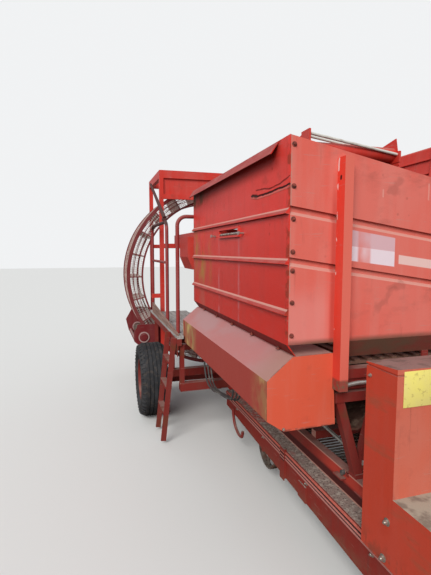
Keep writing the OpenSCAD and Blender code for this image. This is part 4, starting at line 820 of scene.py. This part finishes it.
def boards(name, pale, dark, brown, shift):
    wood = Finish(name, pale, 0.85)
    wood.cover(wood.clouds(10.0, 0.35, 0.7, stretch=(5, 0.35, 5), shift=shift, detail=5), dark, share=0.7)
    cracks = wood.clouds(34.0, 0.60, 0.68, stretch=(6, 0.18, 6), shift=shift + 3, detail=4)
    wood.cover(cracks, (58, 48, 42), 0.95, height=-0.8, share=0.75)
    wood.cover(wood.clouds(3.0, 0.5, 0.7, shift=shift + 5, detail=5), brown, share=0.5)
    wood.cover(wood.specks(7.0, 0.10, shift, stretch=(1, 0.5, 1)), (66, 44, 30), 0.9, share=0.8)
    return wood.done(strength=0.8, distance=0.002)


def grey_timber():
    return boards("grey_timber", (174, 172, 170), (128, 124, 120), (126, 110, 98), 61)


def brown_timber():
    return boards("brown_timber", (158, 130, 120), (118, 88, 76), (96, 66, 56), 67)


print("timber ready: grey and brown")

# %% [markdown]
# The guard carries a plain yellow plate, bleached and blank.

# %% Yellow plate


def yellow_plate_finish():
    plate = bare(
        "yellow_plate_finish", (232, 220, 118), 0.5, 0.0,
        ((9.0, 0.4, 0.7, 71, 4), (224, 210, 132), 0.6, 0.0, 0.7),
        ((50.0, 0.58, 0.7, 73, 5), (160, 140, 84), 0.7, 0.0, 0.45),
    )
    return plate.cover(plate.specks(26.0, 0.10, 7), RUST, 0.8, share=0.3).done()


print("plate ready")

# %% [markdown]
# Each recipe is made once and shared. The table says which pieces of the frame
# wear it, and the print shows that no piece is left plain.

# %% Give every piece of the frame its finish
FINISHES = {
    side_wall_red: ["bunker_wall_right"],
    front_wall_salmon: ["bunker_wall_front"],
    housing_orange: ["floor_housing"],
    guard_orange: ["guard_upper", "guard_lower"],
    post_red: ["bunker_post"],
    rail_maroon: ["handrails", "control_lever"],
    machine_red: [
        "bunker_wall_rear", "bunker_wall_left", "filling_conveyor", "portal_front", "portal_rear",
        "unloading_boom", "drawbar", "coulter_frame", "ridge_roller", "haulm_web_frame",
        "picking_table", "stone_box",
    ],
    rails_red: ["frame_rails"],
    chassis_red: [
        "axle", "bunker_subframe", "boom_brackets", "platform_frame", "ladder",
        "web_rollers", "rim_right", "rim_left",
    ],
    bracket_maroon: ["roller_bracket_right", "roller_bracket_left"],
    scoured_red: ["side_plate_right", "side_plate_left"],
    ring_red: ["ring_elevator"],
    worn_steel: [
        "digging_share", "disc_coulter_right", "disc_coulter_left", "guide_wheel",
        "ring_roller_right", "ring_roller_left",
    ],
    rusty_slats: ["bunker_floor"],
    galvanised: ["jack_tube", "jack_leg"],
    polished_rod: ["drawbar_rod", "boom_rod"],
    rod_web_finish: ["main_web", "haulm_web"],
    tyre_rubber: ["tyre_right", "tyre_left"],
    black_barrel: ["drawbar_barrel", "boom_barrel"],
    greasy_casting: ["gearbox"],
    grey_timber: ["platform_boards"],
    brown_timber: ["kick_boards"],
}
MADE = {}


def finish_of(recipe):
    """The material that a recipe makes, made once."""
    if recipe not in MADE:
        MADE[recipe] = recipe()
    return MADE[recipe]


for recipe, names in FINISHES.items():
    for name in names:
        NODES[name].data.materials.clear()
        NODES[name].data.materials.append(finish_of(recipe))
dressed = {name for names in FINISHES.values() for name in names}
print("finishes:", len(MADE), "undressed:", sorted(set(NODES) - dressed))

# %% [markdown]
# New pieces are built in one bmesh each, from the operators that Blender has:
# cones for rods and bolt heads, cubes for bars. A piece with many small parts
# stays one mesh, which is quick to render and easy to attach to its body.

# %% Small shapes and how a piece is finished


def turned(start, end):
    """The matrix that takes +Z to the line from start to end, at its middle."""
    line = end - start
    return Matrix.Translation((start + end) / 2) @ line.to_track_quat("Z", "Y").to_matrix().to_4x4()


def add_rod(bm, start, end, radius, sides=8, end_radius=None):
    """A round bar between two points, or a taper."""
    return bmesh.ops.create_cone(
        bm, cap_ends=True, segments=sides, radius1=radius,
        radius2=radius if end_radius is None else end_radius,
        depth=(end - start).length, matrix=turned(start, end),
    )["verts"]


def add_block(bm, low, high, turn=None):
    """A box between two corners, or turned about its own middle."""
    size = Matrix.Diagonal((*(Vector(high) - Vector(low)), 1))
    middle = Matrix.Translation((Vector(low) + Vector(high)) / 2)
    return bmesh.ops.create_cube(bm, size=1, matrix=middle @ (turn or Matrix()) @ size)["verts"]


def add_bolt(bm, seat, out, across=0.017, washer=0.030):
    """A washer, a hexagon head and the tip of the thread, on a surface that faces out."""
    out = Vector(out).normalized()
    add_rod(bm, seat, seat + out * 0.002, washer / 2, sides=16)
    add_rod(bm, seat + out * 0.002, seat + out * (0.002 + across * 0.62), across / 2 * 1.12, sides=6)
    add_rod(bm, seat, seat + out * (0.004 + across * 0.85), across * 0.28, sides=10)


def finish_piece(name, bm, recipe, body, crease=35):
    """Turns the bmesh into a piece that rides on a body of the frame."""
    bmesh.ops.recalc_face_normals(bm, faces=bm.faces)
    mesh = bpy.data.meshes.new(name)
    bm.to_mesh(mesh)
    bm.free()
    mesh.shade_smooth()
    mesh.set_sharp_from_angle(angle=math.radians(crease))
    mesh.materials.append(finish_of(recipe))
    piece = in_scene(name, mesh)
    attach(piece, body)
    print(name, "faces:", len(mesh.polygons))
    return piece


print("shapes ready: rod, block and bolt")

# %% [markdown]
# A column of bolts holds the front wall to the side wall. The heads are rusty
# and sit on thin washers. Other bolts hold the guards, the brackets of the
# ring's rollers and the share.

# %% Rusty bolts of the bunker
COLUMN_X = -0.689
COLUMN_Z = (2.136, 1.954, 1.808, 1.661, 1.575, 1.429, 1.276)
FOOT_X, FOOT_Z = -0.684, 1.181
FOOT_BOLT_Y = (-2.30, -1.95, -1.60, -1.25, -0.90)
LEFT_COLUMN_X = 0.770
LEFT_COLUMN_Z = (1.35, 1.50, 1.70, 1.90)
bm = bmesh.new()
for z in COLUMN_Z:
    add_bolt(bm, from_axle(COLUMN_X, FRONT_FACE_Y, z), (0, -1, 0), across=0.012, washer=0.024)
for y in FOOT_BOLT_Y:
    add_bolt(bm, from_axle(FOOT_X, y, FOOT_Z), (0, 0, 1), across=0.013, washer=0.024)
for z in LEFT_COLUMN_Z:
    add_bolt(bm, from_axle(LEFT_COLUMN_X, FRONT_FACE_Y, z), (0, -1, 0), across=0.016, washer=0.034)
finish_piece("bunker_bolts", bm, rusty_bolts, "machine")

# %% [markdown]
# Some bolts are newer and still bright. They are of another finish, so they
# are a mesh of their own.

# %% Bright bolts
HOUSING_BOLT = (-0.722, FRONT_FACE_Y, 0.834)
GUARD_X = -0.438
GUARD_BOLTS = ((-2.823, 0.568), (-2.808, 0.401), (-3.300, 0.560))
LID_BOLT = (-2.690, 1.140)
PLATE_X, PLATE_BOLT_Z = 0.404, 0.328
PLATE_BOLT_Y = (-3.85, -3.30, -2.70, -2.12, -1.50, -0.95)
BRACKET_Y = 0.830
BRACKET_BOLTS = ((0.735, 0.640), (0.735, 0.740), (0.760, 0.690))
SHARE_X, SHARE_BOLT_Z = 0.275, 0.30
SHARE_BOLT_Y = (-4.25, -4.05)
bm = bmesh.new()
add_bolt(bm, from_axle(*HOUSING_BOLT), (0, -1, 0), across=0.010, washer=0.016)
for y, z in GUARD_BOLTS:
    add_bolt(bm, from_axle(GUARD_X, y, z), (-1, 0, 0), across=0.018, washer=0.034)
add_bolt(bm, from_axle(GUARD_X, *LID_BOLT), (-1, 0, 0), across=0.010, washer=0.018)
for side in (-1, 1):
    for y in PLATE_BOLT_Y:
        add_bolt(bm, from_axle(side * PLATE_X, y, PLATE_BOLT_Z), (side, 0, 0), across=0.014, washer=0.026)
    for x, z in BRACKET_BOLTS:
        add_bolt(bm, from_axle(side * x, BRACKET_Y, z), (0, -1, 0), across=0.016, washer=0.030)
    for y in SHARE_BOLT_Y:
        add_bolt(bm, from_axle(side * SHARE_X, y, SHARE_BOLT_Z), (side, 0, 0), across=0.016, washer=0.028)
finish_piece("bright_bolts", bm, zinc_bolts, "machine")

# %% [markdown]
# The side wall's slot has a bar behind it and a pin on each side: the catch
# that locks the moving floor's cover.

# %% Catch in the slot
SLOT_Y = (-1.808, -1.435)
SLOT_Z = 1.781
CATCH_BOLT_Y = (-1.700, -1.540)
PIN_Y = (-1.879, -1.3136)
PIN_Z = SLOT_Z - 0.013
bm = bmesh.new()
add_rod(bm, *[from_axle(-0.713, y, SLOT_Z - 0.009) for y in SLOT_Y], 0.008)
for y in CATCH_BOLT_Y:
    add_bolt(bm, from_axle(-0.720, y, SLOT_Z - 0.008), (-1, 0, 0), across=0.010, washer=0.014)
for y in PIN_Y:
    add_rod(bm, from_axle(-0.709, y, PIN_Z), from_axle(-0.738, y, PIN_Z), 0.006, sides=12)
    add_rod(bm, from_axle(-0.737, y, PIN_Z), from_axle(-0.746, y, PIN_Z), 0.011, sides=12)
finish_piece("slot_catch", bm, zinc_bolts, "machine")

# %% [markdown]
# The ring's side faces are closed by wire netting between the radial bars, and
# its outer skin is a row of thin rods that let the soil fall through. Straight
# wires go from hoop to hoop, and round wires follow the hoops.

# %% Wire netting of the ring
ring_low, ring_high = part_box("ring_elevator")
RING_Z = (ring_low.z + ring_high.z) / 2
RING_R = (ring_high.z - ring_low.z) / 2
RING_IN = RING_R - 0.200
RADIAL_WIRES = 240
ROUND_WIRES = (0.038, 0.056, 0.094, 0.136)
WIRE = 0.0016


def on_ring(angle, radius, y):
    return Vector((radius * math.sin(angle), y, RING_Z + radius * math.cos(angle)))


bm = bmesh.new()
for y in (ring_low.y + 0.006, ring_high.y - 0.006):
    for step in range(RADIAL_WIRES):
        angle = 2 * math.pi * (step + 0.5) / RADIAL_WIRES
        add_rod(bm, on_ring(angle, RING_IN + 0.018, y), on_ring(angle, RING_R - 0.040, y), WIRE, sides=4)
    for depth in ROUND_WIRES:
        place = Matrix.Translation(on_ring(0, RING_IN + depth, y)) @ Matrix.Rotation(math.pi / 2, 4, "Y")
        loop = bmesh.ops.create_circle(bm, segments=4, radius=WIRE * 1.2, matrix=place)["verts"]
        edges = list(dict.fromkeys(edge for vert in loop for edge in vert.link_edges))
        bmesh.ops.spin(
            bm, geom=loop + edges, cent=(0, y, RING_Z), axis=(0, 1, 0),
            angle=2 * math.pi, steps=120, use_merge=True, use_duplicate=False,
        )
finish_piece("ring_netting", bm, chalky_zinc, "ring")

# %% [markdown]
# The skin's rods run from face to face, just inside the outer hoops. Five sides
# are enough for rods as thin as these, of which there are many.

# %% Rods of the ring's outer skin
SKIN_RODS = 168
SKIN_ROD_R = 0.0034
SKIN_DEPTH = 0.016
bm = bmesh.new()
for step in range(SKIN_RODS):
    angle = 2 * math.pi * (step + 0.5) / SKIN_RODS
    ends = [on_ring(angle, RING_R - SKIN_DEPTH, y) for y in (ring_low.y + 0.011, ring_high.y - 0.011)]
    add_rod(bm, *ends, SKIN_ROD_R, sides=5)
finish_piece("ring_skin_rods", bm, chalky_zinc, "ring")

# %% [markdown]
# The rods of the real webs lie closer together than those of the frame, so one
# more goes between each two, on both runs of both webs. The belts are riveted
# to every rod.

# %% Rods between the web's rods
ROLLER_R = 0.048
BELT_T = 0.009
ROD_D = 0.011
WEB_PITCH = 0.064
WEB_ROD_HALF = 0.250
WEBS = (
    ("main_web_rods", (-4.210, 0.165), (-0.490, 0.440)),
    ("haulm_web_rods", (-0.340, 0.352), (2.080, 0.655)),
)
for name, front, rear in WEBS:
    start = from_axle(0, *front)
    line = from_axle(0, *rear) - start
    along = line.normalized()
    above = Vector((0, -along.z, along.y))
    bm = bmesh.new()
    for side in (-1, 1):
        for step in range(1, int(line.length / WEB_PITCH)):
            middle = start + along * (step * WEB_PITCH) + above * side * (ROLLER_R + BELT_T / 2 + 0.0003)
            half = Vector((WEB_ROD_HALF, 0, 0))
            add_rod(bm, middle - half, middle + half, ROD_D / 2, sides=8)
        for step in range(int(line.length / WEB_PITCH * 2) - 1):
            for x in (-0.235, 0.235):
                seat = start + along * ((step + 1) * WEB_PITCH / 2)
                seat += above * side * (ROLLER_R + BELT_T) + Vector((x, 0, 0))
                add_rod(bm, seat, seat + above * side * 0.0035, 0.006, sides=6, end_radius=0.004)
    finish_piece(name, bm, worn_steel, "machine")

# %% [markdown]
# The tyre's shoulders carry short lugs between its ribs. They stay inside the
# tyre's own radius. Inside the rim there are six wheel nuts and a valve.

# %% Shoulder lugs and wheel nuts
HUB_X = 1.005
LUGS = 44
LUG_X = 0.106
LUG_HALF = Vector((0.021, 0.011, 0.016))
LUG_LEAN = math.radians(28)
NUTS = 6
NUT_CIRCLE = 0.105
NUT_SEAT = 0.050
for word, side in (("right", -1), ("left", 1)):
    hub = Vector((side * HUB_X, AXLE_Y, HUB_Z))
    bm = bmesh.new()
    for step in range(LUGS):
        angle = 2 * math.pi * step / LUGS
        for edge in (-1, 1):
            lean = Matrix.Rotation(LUG_LEAN * edge, 4, "Y")
            lug = add_block(bm, -LUG_HALF, LUG_HALF, lean)
            place = (
                Matrix.Translation(hub)
                @ Matrix.Rotation(angle + edge * math.pi / LUGS / 2, 4, "X")
                @ Matrix.Translation((edge * LUG_X, 0, TYRE_RADIUS - 0.031))
            )
            bmesh.ops.transform(bm, matrix=place, verts=lug)
    bmesh.ops.bevel(
        bm, geom=bm.edges[:], offset=0.003, segments=1, affect="EDGES", profile=0.5, material=-1
    )
    finish_piece(f"tyre_lugs_{word}", bm, tyre_rubber, f"wheel_{word}")
    bm = bmesh.new()
    disc_face = hub + Vector((side * NUT_SEAT, 0, 0))
    for step in range(NUTS):
        angle = 2 * math.pi * step / NUTS
        nut = disc_face + Vector((0, NUT_CIRCLE * math.sin(angle), NUT_CIRCLE * math.cos(angle)))
        add_bolt(bm, nut, (side, 0, 0), across=0.022, washer=0.034)
    valve = disc_face + Vector((0, 0.1, 0.130))
    add_rod(bm, valve, valve + Vector((side * 0.035, 0, 0.014)), 0.004)
    finish_piece(f"wheel_nuts_{word}", bm, zinc_bolts, f"wheel_{word}")

# %% [markdown]
# Two galvanised tubes lie over the bunker at the conveyor's mouth. Each is a
# sleeve of thin zinc over the tube of the frame.

# %% Tubes over the bunker
TUBE_R = 0.0079
TUBE_Y = (-2.110, -2.065)
bm = bmesh.new()
for y in TUBE_Y:
    add_rod(bm, from_axle(-0.427, y, 2.2959), from_axle(0.142, y, 2.2201), TUBE_R, sides=16)
finish_piece("mouth_tubes", bm, chalky_zinc, "machine")

# %% [markdown]
# The upper guard's lid is bent: its front right corner stands 14 mm high. The
# yellow plate hangs from the lid's front edge.

# %% Bent lid and yellow plate of the upper guard
guard_low, guard_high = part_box("guard_upper")
guard_middle = (guard_low + guard_high) / 2
LID_RISE = (0.0014, 0.0014, 0.0140, 0.0040)
YELLOW_WIDE = 0.212
YELLOW_DROP = 0.141
bm = bmesh.new()
lid = add_block(
    bm, (guard_low.x - 0.0012, guard_low.y - 0.0012, guard_high.z - 0.006),
    (guard_high.x + 0.0012, guard_high.y + 0.0012, guard_high.z + 0.001),
)
for vert in lid:
    if vert.co.z > guard_high.z:
        rear, left = vert.co.y > guard_middle.y, vert.co.x > guard_middle.x
        vert.co.z = guard_high.z + LID_RISE[(0 if rear else 2) + (1 if left else 0)]
finish_piece("guard_lid", bm, guard_orange, "machine")
bm = bmesh.new()
plate_x = guard_low.x + 0.030
add_block(
    bm, (plate_x, guard_low.y - 0.0030, guard_high.z - YELLOW_DROP),
    (plate_x + YELLOW_WIDE, guard_low.y - 0.0014, guard_high.z + 0.0045),
)
bmesh.ops.bevel(
    bm, geom=bm.edges[:], offset=0.0006, segments=2, affect="EDGES", profile=0.5, material=-1
)
finish_piece("yellow_plate", bm, yellow_plate_finish, "machine")

# %% [markdown]
# Some fittings are too small for the frame: a tube clipped to the right legs
# with a bright bolt at its end, the tube from the post into the guard, a clamp
# on the rail, a bent hook under the side plate, and three hoses that hang in a
# loop below the housing.

# %% Tubes, clamp, hook and hoses


def add_run(bm, points, radius, sides=10):
    """A bent bar or hose along a few points, with a ball at each bend."""
    places = [from_axle(*point) for point in points]
    for first, last in zip(places, places[1:]):
        add_rod(bm, first, last, radius, sides)
    for place in places[1:-1]:
        bmesh.ops.create_icosphere(bm, subdivisions=2, radius=radius, matrix=Matrix.Translation(place))


def smooth_run(points, steps=5):
    """More points on a smooth curve through the given ones."""
    ends = [Vector(point) for point in points]
    ends = [2 * ends[0] - ends[1], *ends, 2 * ends[-1] - ends[-2]]
    made = []
    for p0, p1, p2, p3 in zip(ends, ends[1:], ends[2:], ends[3:]):
        for step in range(steps):
            t = step / steps
            made.append(
                0.5 * (2 * p1 + (p2 - p0) * t + (2 * p0 - 5 * p1 + 4 * p2 - p3) * t * t
                       + (3 * p1 - 3 * p2 + p3 - p0) * t * t * t)
            )
    return [*made, ends[-2]]


bm = bmesh.new()
add_run(bm, ((-0.255, -2.435, 0.594), (-0.255, -0.980, 0.711)), 0.010, sides=12)
GUARD_TUBE = (
    (-0.4195, -2.478, 1.023), (-0.330, -2.478, 1.031), (-0.262, -2.520, 1.034), (-0.240, -2.680, 1.034),
)
add_run(bm, smooth_run(GUARD_TUBE), 0.010)
add_rod(bm, from_axle(-0.250, -2.433, 0.596), from_axle(-0.276, -2.440, 0.597), 0.0125, sides=12)
finish_piece("clipped_tubes", bm, galvanised, "machine")
bm = bmesh.new()
add_block(bm, from_axle(-0.350, -2.372, 0.476), from_axle(-0.3182, -2.296, 0.484))
add_block(bm, from_axle(-0.3225, -2.392, 0.500), from_axle(-0.3182, -2.374, 0.5235))
add_block(bm, from_axle(-0.3225, -2.392, 0.5194), from_axle(-0.262, -2.374, 0.5235))
HOOK_X = -0.4150
HOOK = (
    (-0.860, 0.300), (-0.880, 0.225), (-0.925, 0.165), (-1.010, 0.132), (-1.085, 0.145), (-1.100, 0.195),
)
add_run(bm, smooth_run([(HOOK_X, y, z) for y, z in HOOK]), 0.012)
finish_piece("clamp_and_hook", bm, chassis_red, "machine")
bm = bmesh.new()
add_rod(bm, from_axle(-0.3182, -2.352, 0.508), from_axle(-0.336, -2.352, 0.508), 0.013, sides=12)
HOSE = (
    (-0.800, 0.840), (-0.812, 0.660), (-0.900, 0.545), (-1.060, 0.535),
    (-1.199, 0.560), (-1.430, 0.598), (-1.533, 0.671), (-1.560, 0.840),
)
for shift in (0.0, 0.026, 0.055):
    route = [(-0.600 - shift, y, z + (shift / 3 if z < 0.6 else 0)) for y, z in HOSE]
    add_run(bm, smooth_run(route), 0.007, sides=8)
finish_piece("hoses", bm, hose_rubber, "machine")

# %% [markdown]
# The render stands on a plain floor, which isn't part of the machine. The camera
# sees it pale, and it throws back as little light as dark earth would.

# %% Floor
bm = bmesh.new()
bmesh.ops.create_grid(bm, x_segments=1, y_segments=1, size=40)
floor_mesh = bpy.data.meshes.new("floor")
bm.to_mesh(floor_mesh)
bm.free()
floor = in_scene("floor", floor_mesh)
floor.location.z = -0.002
pale = Finish("pale_floor", (104, 96, 88), 0.9)
pale.shader.inputs["Specular IOR Level"].default_value = 0.5
floor_rays = pale.node("ShaderNodeLightPath")
pale.cover(floor_rays.outputs["Is Camera Ray"], (222, 222, 220))
floor_mesh.materials.append(pale.done())
print("floor at z", round(floor.location.z, 3))
